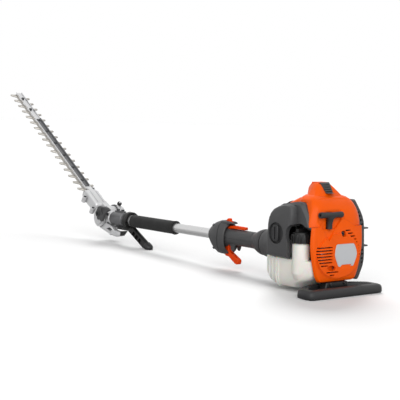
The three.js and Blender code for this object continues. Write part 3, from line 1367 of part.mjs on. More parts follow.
add(cutter, 'guide_bar', guideBar(), brightSteel);
add(cutter, 'upper_knife', knife(bladeLevel - knifeThick, bladeLevel, 'top'), bladeSteel);
add(cutter, 'lower_knife', knife(lowerKnifeTop - knifeThick, lowerKnifeTop, 'bottom'), bladeSteel);
boltStations().forEach((u, i) => add(cutter, `bar_bolt_${i + 1}`, barBolt(u), boltSteel));

export default trimmer;
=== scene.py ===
"""A pole hedge trimmer: its finishes and fine pieces, dressed around the fixed CAD frame."""
import json
import logging
import math
from dataclasses import dataclass, field
from enum import Enum
from typing import Sequence

import bmesh
import bpy
from mathutils import Matrix, Vector
from mathutils.bvhtree import BVHTree


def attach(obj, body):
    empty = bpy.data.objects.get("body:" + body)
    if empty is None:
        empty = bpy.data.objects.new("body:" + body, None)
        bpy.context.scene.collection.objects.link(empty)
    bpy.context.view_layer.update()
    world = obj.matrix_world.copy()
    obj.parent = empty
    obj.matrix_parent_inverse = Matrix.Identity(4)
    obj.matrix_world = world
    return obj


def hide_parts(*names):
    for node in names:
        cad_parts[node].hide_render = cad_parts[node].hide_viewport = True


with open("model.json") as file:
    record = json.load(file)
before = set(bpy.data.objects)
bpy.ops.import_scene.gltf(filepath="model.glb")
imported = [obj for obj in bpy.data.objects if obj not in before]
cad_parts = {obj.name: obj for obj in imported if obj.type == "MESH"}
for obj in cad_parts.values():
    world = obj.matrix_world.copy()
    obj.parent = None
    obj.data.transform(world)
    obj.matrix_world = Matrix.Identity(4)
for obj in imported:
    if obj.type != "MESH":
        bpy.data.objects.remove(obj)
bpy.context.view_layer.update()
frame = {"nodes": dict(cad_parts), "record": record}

LOG = logging.getLogger("trimmer")
MM = 0.001
SLOT_OF_NODE = {row["node"]: row["material_slot"] for row in frame["record"]["subparts"]}
JOINT = {row["name"]: row for row in frame["record"]["behaviour"]["joints"]}
BODY_OF_NODE = {
    node: body
    for body, nodes in frame["record"]["behaviour"]["bodies"].items()
    for node in nodes
}

Point = Sequence[float]
Form = bmesh.types.BMesh
Piece = bpy.types.Object
Tree = bpy.types.NodeTree
Socket = bpy.types.NodeSocket

SHARP_DEGREES = 38.0  # an edge that turns by more than this is a sharp one
FLAT_DEGREES = 0.6  # faces that turn by less than this are merged
WELD_MM = 0.002  # corners nearer to each other than this are merged
WEAR_COSINES = (0.99, 0.86)  # an edge's turn where wear starts, and where it is full
PATCH_RANGE = (0.42, 0.62)  # the span of a noise over which wear goes from none to full
RUB_RANGE = (0.3, 0.7)  # the span of a noise over which a surface goes from polished to dull


# ---------------------------------------------------------------- colour and nodes


def linear(colour: str) -> tuple[float, float, float, float]:
    """Turn an sRGB hex colour into the linear values that a shader works in.

    Args:
        colour: six hex digits, such as "FF6A13".

    Returns:
        Red, green, blue and an alpha of 1.
    """
    channels = [int(colour[i:i + 2], 16) / 255 for i in (0, 2, 4)]
    lin = [c / 12.92 if c <= 0.04045 else ((c + 0.055) / 1.055) ** 2.4 for c in channels]
    return (lin[0], lin[1], lin[2], 1.0)


def add(
    tree: Tree,
    kind: str,
    inputs: dict[str | int, object] | None = None,
    **settings: object,
) -> bpy.types.Node:
    """Add a node, set it up and link what feeds it.

    Args:
        tree: the node tree it goes into.
        kind: the node's type, without its "ShaderNode" prefix.
        inputs: for each input, a plain value or the output socket to link.
        settings: the node's own properties.

    Returns:
        The new node.
    """
    node = tree.nodes.new("ShaderNode" + kind)
    for name, value in settings.items():
        setattr(node, name, value)
    for name, value in (inputs or {}).items():
        if isinstance(value, Socket):
            tree.links.new(value, node.inputs[name])
        else:
            node.inputs[name].default_value = value
    return node


def emptied(owner: bpy.types.Material | bpy.types.World) -> Tree:
    """Empty the node tree of a material or a world.

    Args:
        owner: the material or the world.

    Returns:
        Its node tree, with nothing in it.
    """
    owner.use_nodes = True
    owner.node_tree.nodes.clear()
    return owner.node_tree


def per_metre(size_mm: float) -> float:
    """Return the texture scale that gives a pattern of that size in millimetres."""
    return 1.0 / (size_mm * MM)


# ---------------------------------------------------------------- finishes


@dataclass(frozen=True)
class Finish:
    """A real surface: what it is made of and how it was made.

    The base class is a plain moulded surface with a fine grain, a slow drift of
    tone, painted shade that ambient occlusion darkens into its corners, and edges that handling
    has brightened.
    """

    name: str
    colour: str
    roughness: float = 0.5
    rubbed_share: float = 0.18
    rubbed_mm: float = 24.0
    grain_mm: float = 0.9
    grain_height_mm: float = 0.02
    tone_drift: float = 0.06
    drift_mm: float = 60.0
    edge_wear: float = 0.12
    edge_mm: float = 0.9
    wear_patch_mm: float = 9.0
    worn_colour: str = "9A9A9A"
    # painted shade: how much ambient occlusion darkens corners and recesses, and how far it
    # reaches
    corner_dust: float = 0.25
    dust_reach_mm: float = 9.0
    metallic: float = 0.0
    specular: float = 0.5
    sheen: float = 0.0
    subsurface: float = 0.0
    scatter_mm: float = 4.0
    slot: str = ""

    def height(self, tree: Tree, place: Socket) -> Socket:
        """Return the surface's fine relief, from 0 to 1."""
        size = {"Vector": place, "Scale": per_metre(self.grain_mm)}
        return add(tree, "TexNoise", {**size, "Detail": 3.0, "Roughness": 0.6}).outputs["Fac"]

    def colour_field(self, tree: Tree, place: Socket) -> Socket:
        """Make the surface's colour before wear and the painted corner shade.

        Args:
            tree: the material's nodes.
            place: the object's own coordinates.

        Returns:
            The colour, with its slow drift of tone.
        """
        slow = {"Vector": place, "Scale": per_metre(self.drift_mm), "Detail": 2.0}
        drift = add(tree, "MapRange", {
            "Value": add(tree, "TexNoise", slow).outputs["Fac"],
            "To Min": 1 - self.tone_drift,
            "To Max": 1 + self.tone_drift,
        })
        base = {"Value": drift.outputs["Result"], "Color": linear(self.colour)}
        return add(tree, "HueSaturation", base).outputs["Color"]

    def edge_mask(self, tree: Tree, place: Socket) -> Socket:
        """Find where the surface turns sharply, broken up by a noise.

        Args:
            tree: the material's nodes.
            place: the object's own coordinates.

        Returns:
            The share of wear, from 0 to 1.
        """
        rounded = add(tree, "Bevel", {"Radius": self.edge_mm * MM}, samples=4)
        normals = {0: rounded.outputs["Normal"], 1: add(tree, "NewGeometry").outputs["Normal"]}
        facing = add(tree, "VectorMath", normals, operation="DOT_PRODUCT")
        start, full = WEAR_COSINES
        turn = add(tree, "MapRange", {
            "Value": facing.outputs["Value"], "From Min": start, "From Max": full,
            "To Min": 0.0, "To Max": 1.0,
        })
        scale = per_metre(self.wear_patch_mm)
        patches = add(tree, "TexNoise", {"Vector": place, "Scale": scale, "Detail": 4.0})
        low, high = PATCH_RANGE
        broken = add(tree, "MapRange", {
            "Value": patches.outputs["Fac"], "From Min": low, "From Max": high,
        })
        both = {0: turn.outputs["Result"], 1: broken.outputs["Result"]}
        return add(tree, "Math", both, operation="MULTIPLY").outputs["Value"]

    def roughness_field(self, tree: Tree, place: Socket) -> Socket:
        """Make a roughness that hands and cloths have polished unevenly.

        Args:
            tree: the material's nodes.
            place: the object's own coordinates.

        Returns:
            The roughness.
        """
        rubbed = {"Vector": place, "Scale": per_metre(self.rubbed_mm), "Detail": 4.0}
        spread = self.rubbed_share * self.roughness
        low, high = RUB_RANGE
        return add(tree, "MapRange", {
            "Value": add(tree, "TexNoise", rubbed).outputs["Fac"],
            "From Min": low,
            "From Max": high,
            "To Min": self.roughness - spread,
            "To Max": self.roughness + spread,
        }).outputs["Result"]

    def material(self) -> bpy.types.Material:
        """Make the material, or find the one that this finish has already made.

        Returns:
            The material.
        """
        found = bpy.data.materials.get(self.name)
        if found:
            return found
        made = bpy.data.materials.new(self.name)
        tree = emptied(made)
        place = add(tree, "TexCoord").outputs["Object"]
        colour = self.colour_field(tree, place)
        if self.edge_wear:
            worn = {0: self.edge_mask(tree, place), 1: self.edge_wear}
            share = add(tree, "Math", worn, operation="MULTIPLY").outputs["Value"]
            shades = {0: share, 6: colour, 7: linear(self.worn_colour)}
            colour = add(tree, "Mix", shades, data_type="RGBA").outputs[2]
        # painted shade: ambient occlusion darkens the colour in corners and recesses, where shade
        # falls
        if self.corner_dust:
            reach = {"Distance": self.dust_reach_mm * MM}
            shade_of_corners = add(tree, "MapRange", {
                "Value": add(tree, "AmbientOcclusion", reach, samples=4).outputs["AO"],
                "To Min": 1 - self.corner_dust,
                "To Max": 1.0,
            }).outputs["Result"]
            corner_shaded = {"Value": shade_of_corners, "Color": colour}
            colour = add(tree, "HueSaturation", corner_shaded).outputs["Color"]
        normal = add(tree, "Bump", {
            "Height": self.height(tree, place),
            "Distance": self.grain_height_mm * MM,
            "Strength": 1.0,
        }).outputs["Normal"]
        shader = add(tree, "BsdfPrincipled", {
            "Base Color": colour,
            "Roughness": self.roughness_field(tree, place),
            "Normal": normal,
            "Metallic": self.metallic,
            "Specular IOR Level": self.specular,
            "Sheen Weight": self.sheen,
            "Subsurface Weight": self.subsurface,
            "Subsurface Scale": self.scatter_mm * MM,
        })
        out = add(tree, "OutputMaterial", {"Surface": shader.outputs["BSDF"]})
        out.is_active_output = True
        made.diffuse_color = linear(self.colour)
        return made


@dataclass(frozen=True)
class DrawnMetal(Finish):
    """Metal that was drawn, rolled or ground, with fine lines along one direction."""

    line_mm: float = 0.5
    line_length_mm: float = 60.0
    along: tuple[float, float, float] = (1.0, 0.0, 0.0)

    def height(self, tree: Tree, place: Socket) -> Socket:
        """Make the lines, narrow across and long along the working direction.

        Args:
            tree: the material's nodes.
            place: the object's own coordinates.

        Returns:
            The relief, from 0 to 1.
        """
        lengths = [self.line_length_mm if abs(a) > 0.5 else self.line_mm for a in self.along]
        scaled = add(tree, "Mapping", {"Vector": place, "Scale": [per_metre(s) for s in lengths]})
        lines = {"Vector": scaled.outputs["Vector"], "Scale": 1.0, "Detail": 2.0, "Roughness": 0.5}
        return add(tree, "TexNoise", lines).outputs["Fac"]


@dataclass(frozen=True)
class CellFoam(Finish):
    """Closed-cell rubber foam: small pits all over and no shine."""

    cell_mm: float = 1.6

    def height(self, tree: Tree, place: Socket) -> Socket:
        """Return the skin's cells as shallow pits."""
        cells = {"Vector": place, "Scale": per_metre(self.cell_mm), "Randomness": 1.0}
        return add(tree, "TexVoronoi", cells, feature="SMOOTH_F1").outputs["Distance"]


class Surface(Enum):
    """The trimmer's finishes, each named for its material slot unless it gives another.

    Mould grain, blasting pebble, ground lines and foam cells are really a few tenths
    of a millimetre or less. They are drawn coarser, so that they break up the light.
    """

    # glossy injection-moulded ABS: the saturated orange that the eye goes to first
    ORANGE_SHELL = Finish(
        "abs_gloss_orange", "FF6000", roughness=0.36, grain_mm=5.0, grain_height_mm=0.03,
        tone_drift=0.03, edge_wear=0.12, worn_colour="FF9A5A", corner_dust=0.3, specular=0.2,
    )
    # acetal levers: redder and flatter than the covers, so that the controls stand out
    CONTROL_ORANGE = Finish(
        "acetal_satin_red_orange", "F84A04", roughness=0.42, grain_mm=1.2, tone_drift=0.04,
        specular=0.14, edge_wear=0.1, worn_colour="FF8A50",
    )
    # glass-filled nylon: a fine spark-eroded grain that breaks up every highlight
    DARK_SHELL = Finish(
        "glass_filled_nylon_dark_grey", "4A4A4B", roughness=0.46, grain_mm=0.9,
        grain_height_mm=0.03, edge_wear=0.3, worn_colour="8C8C8C", specular=0.4,
    )
    # unfilled black nylon: the darkest moulded parts, with a soft shine
    BLACK_PLASTIC = Finish(
        "nylon_black", "161616", roughness=0.4, grain_mm=1.1, edge_wear=0.2,
        worn_colour="5C5C5C", specular=0.4,
    )
    # charcoal nylon: the hand's and the ground's parts, a step lighter than black
    CHARCOAL_NYLON = Finish(
        "nylon_charcoal", "313132", roughness=0.44, grain_mm=1.0, edge_wear=0.25,
        worn_colour="6A6A6A", specular=0.38, slot="dark_shell",
    )
    # braided polyamide cord: dull, with the braid's fine lumps
    STARTER_CORD = Finish(
        "braided_polyamide_cord", "262627", roughness=0.85, grain_mm=1.0, grain_height_mm=0.12,
        edge_wear=0.0, specular=0.2, slot="grip_foam",
    )
    # EPDM rubber: dull, slightly dusty
    RUBBER = Finish(
        "epdm_rubber", "121212", roughness=0.7, grain_mm=1.4, edge_wear=0.05, specular=0.3,
    )
    # nitrile foam sleeve: open pores and no highlight
    GRIP_FOAM = CellFoam(
        "nitrile_foam", "2E2E2E", roughness=0.9, grain_height_mm=0.22, edge_wear=0.0, sheen=0.08,
        specular=0.2,
    )
    # drawn aluminium tube: lines along the tube and a bright upper edge
    ALUMINIUM_TUBE = DrawnMetal(
        "drawn_aluminium", "E6E6E6", roughness=0.32, metallic=1.0, grain_height_mm=0.006,
        tone_drift=0.03, edge_wear=0.0, corner_dust=0.3,
    )
    # die casting, shot-blasted: pale and finely pebbled, with strong painted shade in its corners
    CAST_ALLOY = Finish(
        "die_cast_aluminium", "E2E2E3", roughness=0.44, metallic=0.55, grain_mm=1.3,
        grain_height_mm=0.05, tone_drift=0.08, edge_wear=0.35, worn_colour="F4F4F4",
        corner_dust=0.6,
    )
    # magnesium under a dark grey coat: metal shape with a paint's depth
    DARK_COLLAR = Finish(
        "coated_magnesium", "727274", roughness=0.4, metallic=0.4, grain_mm=1.0,
        grain_height_mm=0.03, edge_wear=0.3,
    )
    # knife steel, surface-ground across the blade: warm grey with fine cross lines
    BLADE_STEEL = DrawnMetal(
        "ground_knife_steel", "C9C5BE", roughness=0.36, metallic=1.0, grain_height_mm=0.01,
        along=(0.0, 1.0, 0.0), line_mm=0.6, line_length_mm=12.0, tone_drift=0.1, edge_wear=0.3,
        worn_colour="F2EEE8", corner_dust=0.5,
    )
    # cold-rolled strip: the brightest metal on the cutter
    BRIGHT_STEEL = DrawnMetal(
        "rolled_steel", "F2F2F3", roughness=0.28, metallic=1.0, grain_height_mm=0.006,
        tone_drift=0.04, edge_wear=0.1, worn_colour="FFFFFF", corner_dust=0.3,
    )
    # black-oxide fasteners: dark, mottled, rubbed bright on their corners
    BOLT_STEEL = Finish(
        "black_oxide_steel", "4C4D4F", roughness=0.35, metallic=0.9, grain_mm=0.7,
        tone_drift=0.12, edge_wear=0.4, worn_colour="A8A8A8", corner_dust=0.5,
    )
    # natural polyethylene: milky, lets a little light through at its edges
    TANK_PLASTIC = Finish(
        "natural_polyethylene", "F4F1E9", roughness=0.42, grain_mm=3.0, grain_height_mm=0.03,
        tone_drift=0.03, edge_wear=0.0, corner_dust=0.08, specular=0.35, subsurface=0.3,
    )
    # satin foil plate: a cool flat grey
    LABEL_GREY = Finish(
        "satin_grey_foil", "D2D4D7", roughness=0.38, grain_mm=0.5, grain_height_mm=0.005,
        tone_drift=0.02, edge_wear=0.0, metallic=0.2, specular=0.4,
    )

    @property
    def slot(self) -> str:
        """The record's name for this finish."""
        return self.value.slot or self.name.lower()


def finish_of(node: str) -> Surface:
    """Return the finish that the record gives to a CAD node."""
    return Surface[SLOT_OF_NODE[node].upper()]


# ---------------------------------------------------------------- working frames


@dataclass(frozen=True)
class Bench:
    """A frame fixed to one part of the machine, in which pieces are drawn in millimetres."""

    matrix: Matrix

    def at(self, x: float, y: float, z: float) -> Vector:
        """Return where a point of this frame is, in metres on the whole machine."""
        return self.matrix @ Vector((x, y, z))

    def turned_to(self, origin: Point, axis: Point) -> "Bench":
        """Return a frame at a point of this one, with its Z along an axis.

        Args:
            origin: the new origin, in this frame's millimetres.
            axis: the new Z direction, in this frame.

        Returns:
            The new frame.
        """
        turn = Vector(axis).to_track_quat("Z", "Y").to_matrix().to_4x4()
        return Bench(self.matrix @ Matrix.Translation(Vector(origin)) @ turn)

    def box_of(self, node: str) -> tuple[Vector, Vector]:
        """Measure a CAD node along this frame's axes.

        Args:
            node: the CAD node.

        Returns:
            Its lowest and its highest corner, in this frame's millimetres.
        """
        back = self.matrix.inverted()
        points = [back @ v.co for v in frame["nodes"][node].data.vertices]
        low = Vector([min(p[i] for p in points) for i in range(3)])
        high = Vector([max(p[i] for p in points) for i in range(3)])
        return low, high

    def surface(self, node: str, start: Point, way: Point) -> tuple[Vector, Vector] | None:
        """Find where a ray first meets a CAD node.

        Args:
            node: the CAD node.
            start: where the ray starts, in this frame's millimetres.
            way: its direction, in this frame.

        Returns:
            The point and the surface's outward normal there, or None where it misses.
        """
        mesh = frame["nodes"][node].data
        tree = BVHTree.FromPolygons(
            [v.co for v in mesh.vertices], [tuple(f.vertices) for f in mesh.polygons]
        )
        begin = self.at(*start)
        heading = (self.at(*(Vector(start) + Vector(way))) - begin).normalized()
        spot, normal, _, _ = tree.ray_cast(begin, heading)
        if spot is None:
            LOG.info("nothing of %s at %s", node, tuple(round(c, 1) for c in start))
            return None
        back = self.matrix.inverted()
        outward = (back.to_3x3() @ normal).normalized()
        if outward.dot(Vector(way)) > 0:
            outward = -outward
        return back @ spot, outward

    def piece(
        self, name: str, form: Form, rounding_mm: float = 0.0, sharp: float = SHARP_DEGREES
    ) -> Piece:
        """Turn a form drawn in this frame into an object of the scene.

        Args:
            name: the object's name.
            form: the mesh under construction, which is freed.
            rounding_mm: the width of a bevel along its sharp edges, if any.
            sharp: the turn above which an edge counts as sharp, in degrees.

        Returns:
            The object, not yet riding on a body.
        """
        moved(form, self.matrix)
        bmesh.ops.recalc_face_normals(form, faces=form.faces)
        mesh = bpy.data.meshes.new(name)
        form.to_mesh(mesh)
        form.free()
        made = placed(name, mesh)
        shade(made, sharp)
        if rounding_mm:
            round_edges(made, rounding_mm)
        return made


def frame_from(origin: Point, along: Point, up: Point) -> Bench:
    """Set up a working frame whose unit is a millimetre.

    Args:
        origin: its origin, in metres on the whole machine.
        along: its X direction.
        up: a direction near its Z.

    Returns:
        The frame.
    """
    x = Vector(along).normalized()
    y = Vector(up).cross(x).normalized()
    z = x.cross(y)
    turn = Matrix((x, y, z)).transposed().to_4x4()
    return Bench(Matrix.Translation(Vector(origin)) @ turn @ Matrix.Scale(MM, 4))


MACHINE = frame_from(
    JOINT["crank_spin"]["pos_m"], JOINT["crank_spin"]["axis"], JOINT["starter_pull"]["axis"]
)
CUTTER = frame_from(
    JOINT["cutter_tilt"]["pos_m"],
    JOINT["upper_knife_stroke"]["axis"],
    Vector(JOINT["upper_knife_stroke"]["axis"]).cross(Vector(MACHINE.matrix.col[1][:3])),
)


# ---------------------------------------------------------------- forms


def placed(name: str, data: bpy.types.ID) -> Piece:
    """Put a mesh, a lamp or a camera into the scene.

    Args:
        name: the object's name.
        data: what it shows.

    Returns:
        The new object.
    """
    made = bpy.data.objects.new(name, data)
    bpy.context.scene.collection.objects.link(made)
    return made


def moved(form: Form, matrix: Matrix) -> Form:
    """Move a form by a matrix and return it."""
    bmesh.ops.transform(form, matrix=matrix, verts=form.verts)
    return form


def shade(piece: Piece, sharp: float = SHARP_DEGREES) -> None:
    """Shade a mesh smooth, apart from its sharp edges.

    Args:
        piece: the object.
        sharp: the turn above which an edge counts as sharp, in degrees.
    """
    mesh = piece.data
    mesh.polygons.foreach_set("use_smooth", [True] * len(mesh.polygons))
    mesh.set_sharp_from_angle(angle=math.radians(sharp))


def round_edges(piece: Piece, width_mm: float) -> None:
    """Give a piece small real roundings along its sharp edges.

    Args:
        piece: the object.
        width_mm: the width of the roundings.
    """
    bevel = piece.modifiers.new("rounding", "BEVEL")
    bevel.width = width_mm * MM
    bevel.segments = 2
    bevel.limit_method = "ANGLE"
    bevel.angle_limit = math.radians(SHARP_DEGREES)
    bevel.use_clamp_overlap = True


def refined(node: str, edge_mm: float = 0.5) -> Piece:
    """Make a finer copy of a CAD node: welded, with small real roundings on its edges.

    Args:
        node: the CAD node that the copy stands for.
        edge_mm: the width of the roundings.

    Returns:
        The new object, not yet riding on a body.
    """
    mesh = frame["nodes"][node].data.copy()
    mesh.name = "fine_" + node
    form = bmesh.new()
    form.from_mesh(mesh)
    bmesh.ops.remove_doubles(form, verts=form.verts, dist=WELD_MM * MM)
    flat = math.radians(FLAT_DEGREES)
    bmesh.ops.dissolve_limit(form, angle_limit=flat, verts=form.verts, edges=form.edges)
    form.to_mesh(mesh)
    form.free()
    piece = placed("fine_" + node, mesh)
    shade(piece)
    if edge_mm:
        round_edges(piece, edge_mm)
    return piece


def trimmed(piece: Piece, bench: Bench, point: Point, normal: Point) -> Piece:
    """Cut a copy off at a plane and close the cut.

    Args:
        piece: the copy.
        bench: the frame of the plane.
        point: a point of the plane, in millimetres.
        normal: the side of the plane that is taken away.

    Returns:
        The same object.
    """
    form = bmesh.new()
    form.from_mesh(piece.data)
    rim = bmesh.ops.bisect_plane(
        form,
        geom=[*form.verts, *form.edges, *form.faces],
        plane_co=bench.at(*point),
        plane_no=(bench.matrix.to_3x3() @ Vector(normal)).normalized(),
        clear_outer=True,
    )["geom_cut"]
    bmesh.ops.holes_fill(form, edges=[e for e in rim if isinstance(e, bmesh.types.BMEdge)])
    form.to_mesh(piece.data)
    form.free()
    shade(piece)
    return piece


def stacked(rings: Sequence[Sequence[Point]], closed: bool = False) -> Form:
    """Join rings of equal length into one skin.

    Args:
        rings: the rings, each a loop of points.
        closed: whether the last ring joins back to the first. An open stack gets a
            face at each end.

    Returns:
        The new form.
    """
    form = bmesh.new()
    rows = [[form.verts.new(p) for p in ring] for ring in rings]
    count = len(rows[0])
    pairs = list(zip(rows, rows[1:]))
    if closed:
        pairs.append((rows[-1], rows[0]))
    for low, high in pairs:
        for i in range(count):
            j = (i + 1) % count
            form.faces.new((low[i], low[j], high[j], high[i]))
    if not closed:
        form.faces.new(list(reversed(rows[0])))
        form.faces.new(rows[-1])
    return form


def circle(radius: float, height: float, steps: int = 24) -> list[Vector]:
    """Return a level ring of points."""
    return [
        Vector((radius * math.cos(t), radius * math.sin(t), height))
        for t in (math.tau * i / steps for i in range(steps))
    ]


def hexagon(flats: float, height: float, steps: int = 24) -> list[Vector]:
    """Draw a level ring of points along a hexagon.

    Args:
        flats: the hexagon's width across its flats.
        height: the ring's height.
        steps: how many points it has.

    Returns:
        The points.
    """
    ring = []
    for i in range(steps):
        turn = math.tau * i / steps
        off = (turn % (math.tau / 6)) - math.tau / 12
        reach = flats / 2 / math.cos(off)
        ring.append(Vector((reach * math.cos(turn), reach * math.sin(turn), height)))
    return ring


def lathe(profile: Sequence[Point], steps: int = 48) -> Form:
    """Turn a profile of (radius, height) points round Z; ends on the axis are closed."""
    return stacked([circle(max(r, 0.01), z, steps) for r, z in profile])


def slab(outline: Sequence[Point], low: float, high: float) -> Form:
    """Raise a level outline of (x, y) points from one height to another."""
    return stacked([[Vector((x, y, z)) for x, y in outline] for z in (low, high)])


def beam(outline: Sequence[Point], start: Point, end: Point) -> Form:
    """Draw a cross-section of (across, up) points out along a path across X or Y.

    Args:
        outline: the section's points.
        start: the first end, as (x, y) of the section's origin.
        end: the other end.

    Returns:
        The new form.
    """
    way = Vector((end[0] - start[0], end[1] - start[1], 0)).normalized()
    side = Vector((-way.y, way.x, 0))
    return stacked([
        [Vector((spot[0], spot[1], 0)) + side * a + Vector((0, 0, z)) for a, z in outline]
        for spot in (start, end)
    ])


def brick(low: Point, high: Point) -> Form:
    """Return a plain block between two corners."""
    outline = [(low[0], low[1]), (high[0], low[1]), (high[0], high[1]), (low[0], high[1])]
    return slab(outline, low[2], high[2])


def merged(*forms: Form) -> Form:
    """Put several separate bodies into one form.

    Args:
        forms: the bodies, which are freed.

    Returns:
        The form that holds them all.
    """
    whole = bmesh.new()
    for form in forms:
        mesh = bpy.data.meshes.new("part")
        form.to_mesh(mesh)
        form.free()
        whole.from_mesh(mesh)
        bpy.data.meshes.remove(mesh)
    return whole


def girth(loop: Sequence[Vector]) -> float:
    """Return how long a loop is."""
    return sum((a - b).length for a, b in zip(loop, loop[1:]))


def section_loops(node: str, bench: Bench, point: Point, normal: Point) -> list[list[Vector]]:
    """Cut a CAD node by a plane and return the outlines of the cut.

    Args:
        node: the CAD node.
        bench: the frame of the other values and of the result.
        point: a point of the plane.
        normal: the plane's normal.

    Returns:
        Closed loops of points, the longest first.
    """
    form = bmesh.new()
    form.from_mesh(frame["nodes"][node].data)
    moved(form, bench.matrix.inverted())
    bmesh.ops.remove_doubles(form, verts=form.verts, dist=WELD_MM)
    cut = bmesh.ops.bisect_plane(
        form,
        geom=[*form.verts, *form.edges, *form.faces],
        plane_co=Vector(point),
        plane_no=Vector(normal),
        clear_inner=True,
        clear_outer=True,
    )["geom_cut"]
    links: dict[int, list[int]] = {}
    spots: dict[int, Vector] = {}
    form.verts.index_update()
    for edge in (e for e in cut if isinstance(e, bmesh.types.BMEdge)):
        a, b = edge.verts
        links.setdefault(a.index, []).append(b.index)
        links.setdefault(b.index, []).append(a.index)
        spots[a.index], spots[b.index] = a.co.copy(), b.co.copy()
    form.free()
    loops = []
    left = set(links)
    while left:
        here = left.pop()
        chain = [here]
        while True:
            onward = [k for k in links[here] if k in left]
            if not onward:
                break
            here = onward[0]
            left.discard(here)
            chain.append(here)
        if len(chain) > 3:
            loops.append([spots[k] for k in chain])
    return sorted(loops, key=girth, reverse=True)


def evened(loop: Sequence[Vector], step: float) -> list[Vector]:
    """Space points evenly along a closed loop.

    Args:
        loop: the loop.
        step: about how far apart the points are to be.

    Returns:
        The points.
    """
    path = [*loop, loop[0]]
    spans = [(b - a).length for a, b in zip(path, path[1:])]
    total = sum(spans)
    count = max(3, round(total / step))
    result = []
    for i in range(count):
        want = total * i / count
        for a, b, span in zip(path, path[1:], spans):
            if want <= span and span > 0:
                result.append(a.lerp(b, want / span))
                break
            want -= span
        else:
            result.append(path[-1].copy())
    return result


def outwards(loop: Sequence[Vector], across: Vector) -> list[Vector]:
    """Find which way is out at each point of a closed loop.

    Args:
        loop: the loop.
        across: the direction across which it lies.

    Returns:
        A direction for each point, away from the loop's middle.
    """
    centre = sum(loop, Vector()) / len(loop)
    ways = []
    for i, spot in enumerate(loop):
        out = (loop[(i + 1) % len(loop)] - loop[i - 1]).cross(across).normalized()
        ways.append(-out if out.dot(spot - centre) < 0 else out)
    return ways


def bead(
    loop: Sequence[Vector], normal: Point, width: float, proud: float, sunk: float = 0.6
) -> Form:
    """Lay a low rounded bead along an outline, such as a moulding's parting line.

    Args:
        loop: the outline, a closed loop across the normal.
        normal: the direction across which the outline lies.
        width: the bead's width along the normal.
        proud: how far it stands out of the outline.
        sunk: how far it reaches into the piece below.

    Returns:
        The new form.
    """
    across = Vector(normal).normalized()
    side = across * (width / 2)
    rings = []
    for spot, out in zip(loop, outwards(loop, across)):
        rings.append([
            spot - side - out * sunk,
            spot - side + out * (0.3 * proud),
            spot - 0.55 * side + out * proud,
            spot + 0.55 * side + out * proud,
            spot + side + out * (0.3 * proud),
            spot + side - out * sunk,
        ])
    return stacked(rings, closed=True)


def inset(loop: Sequence[Vector], normal: Point, distance: float) -> list[Vector]:
    """Return a loop moved inwards across its own plane."""
    ways = outwards(loop, Vector(normal).normalized())
    return [spot - out * distance for spot, out in zip(loop, ways)]


def raised_line(
    loop: Sequence[Vector], normal: Point, level: float, width: float, proud: float = 0.35
) -> Form:
    """Return a low line that stands up from a flat face along a loop.

    Args:
        loop: the line's path, a loop across the normal.
        normal: the inward direction of the face, along which the line stands out backwards.
        level: the face's place along the normal.
        width: the line's width across its path.
        proud: how far it stands out.

    Returns:
        The new form.
    """
    across = Vector(normal).normalized()
    inner = inset(loop, normal, width / 2)
    outer = inset(loop, normal, -width / 2)
    rings = []
    for a, b in zip(inner, outer):
        feet = [p + across * (level - p.dot(across)) for p in (a, b)]
        rings.append([
            feet[0] + across * 0.3,
            feet[0] - across * (0.6 * proud),
            feet[0].lerp(feet[1], 0.3) - across * proud,
            feet[0].lerp(feet[1], 0.7) - across * proud,
            feet[1] - across * (0.6 * proud),
            feet[1] + across * 0.3,
        ])
    return stacked(rings, closed=True)


# ---------------------------------------------------------------- pieces


def dress(piece: Piece, body: str, surface: Surface, *nodes: str) -> Piece:
    """Give a finished piece its material and its body, and hide the CAD nodes that it stands for.

    Args:
        piece: the object, in place at rest.
        body: the CAD body it moves with.
        surface: its finish.
        nodes: the CAD nodes that it replaces, if any.

    Returns:
        The same object.
    """
    piece.data.materials.clear()
    piece.data.materials.append(surface.value.material())
    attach(piece, body)
    surface.slot
    if nodes:
        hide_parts(*nodes)
    return piece


@dataclass(frozen=True)
class Fastener:
    """A socket screw's head, drawn with its axis along Z and its seat at zero."""

    head_radius: float = 4.0
    height: float = 3.2
    socket: float = 4.0
    washer_radius: float = 0.0
    sunk: float = 0.5
    sharp: float = 30.0

    def form(self) -> Form:
        """Draw the head's skin, with its washer where it has one.

        Returns:
            The new form.
        """
        top = self.height
        head = stacked([
            circle(self.head_radius, -self.sunk),
            circle(self.head_radius, top - 0.7),
            circle(self.head_radius - 0.25, top - 0.2),
            circle(self.head_radius - 0.7, top),
            hexagon(self.socket + 0.4, top),
            hexagon(self.socket, top - 0.25),
            hexagon(self.socket, 0.35 * top),
            circle(0.15, 0.3 * top),
        ])
        if not self.washer_radius:
            return head
        bore = self.head_radius - 0.6
        washer = lathe([
            (bore, -self.sunk), (self.washer_radius, -self.sunk), (self.washer_radius, 0.5),
            (self.washer_radius - 0.3, 0.8), (bore, 0.8),
        ], 24)
        return merged(head, washer)


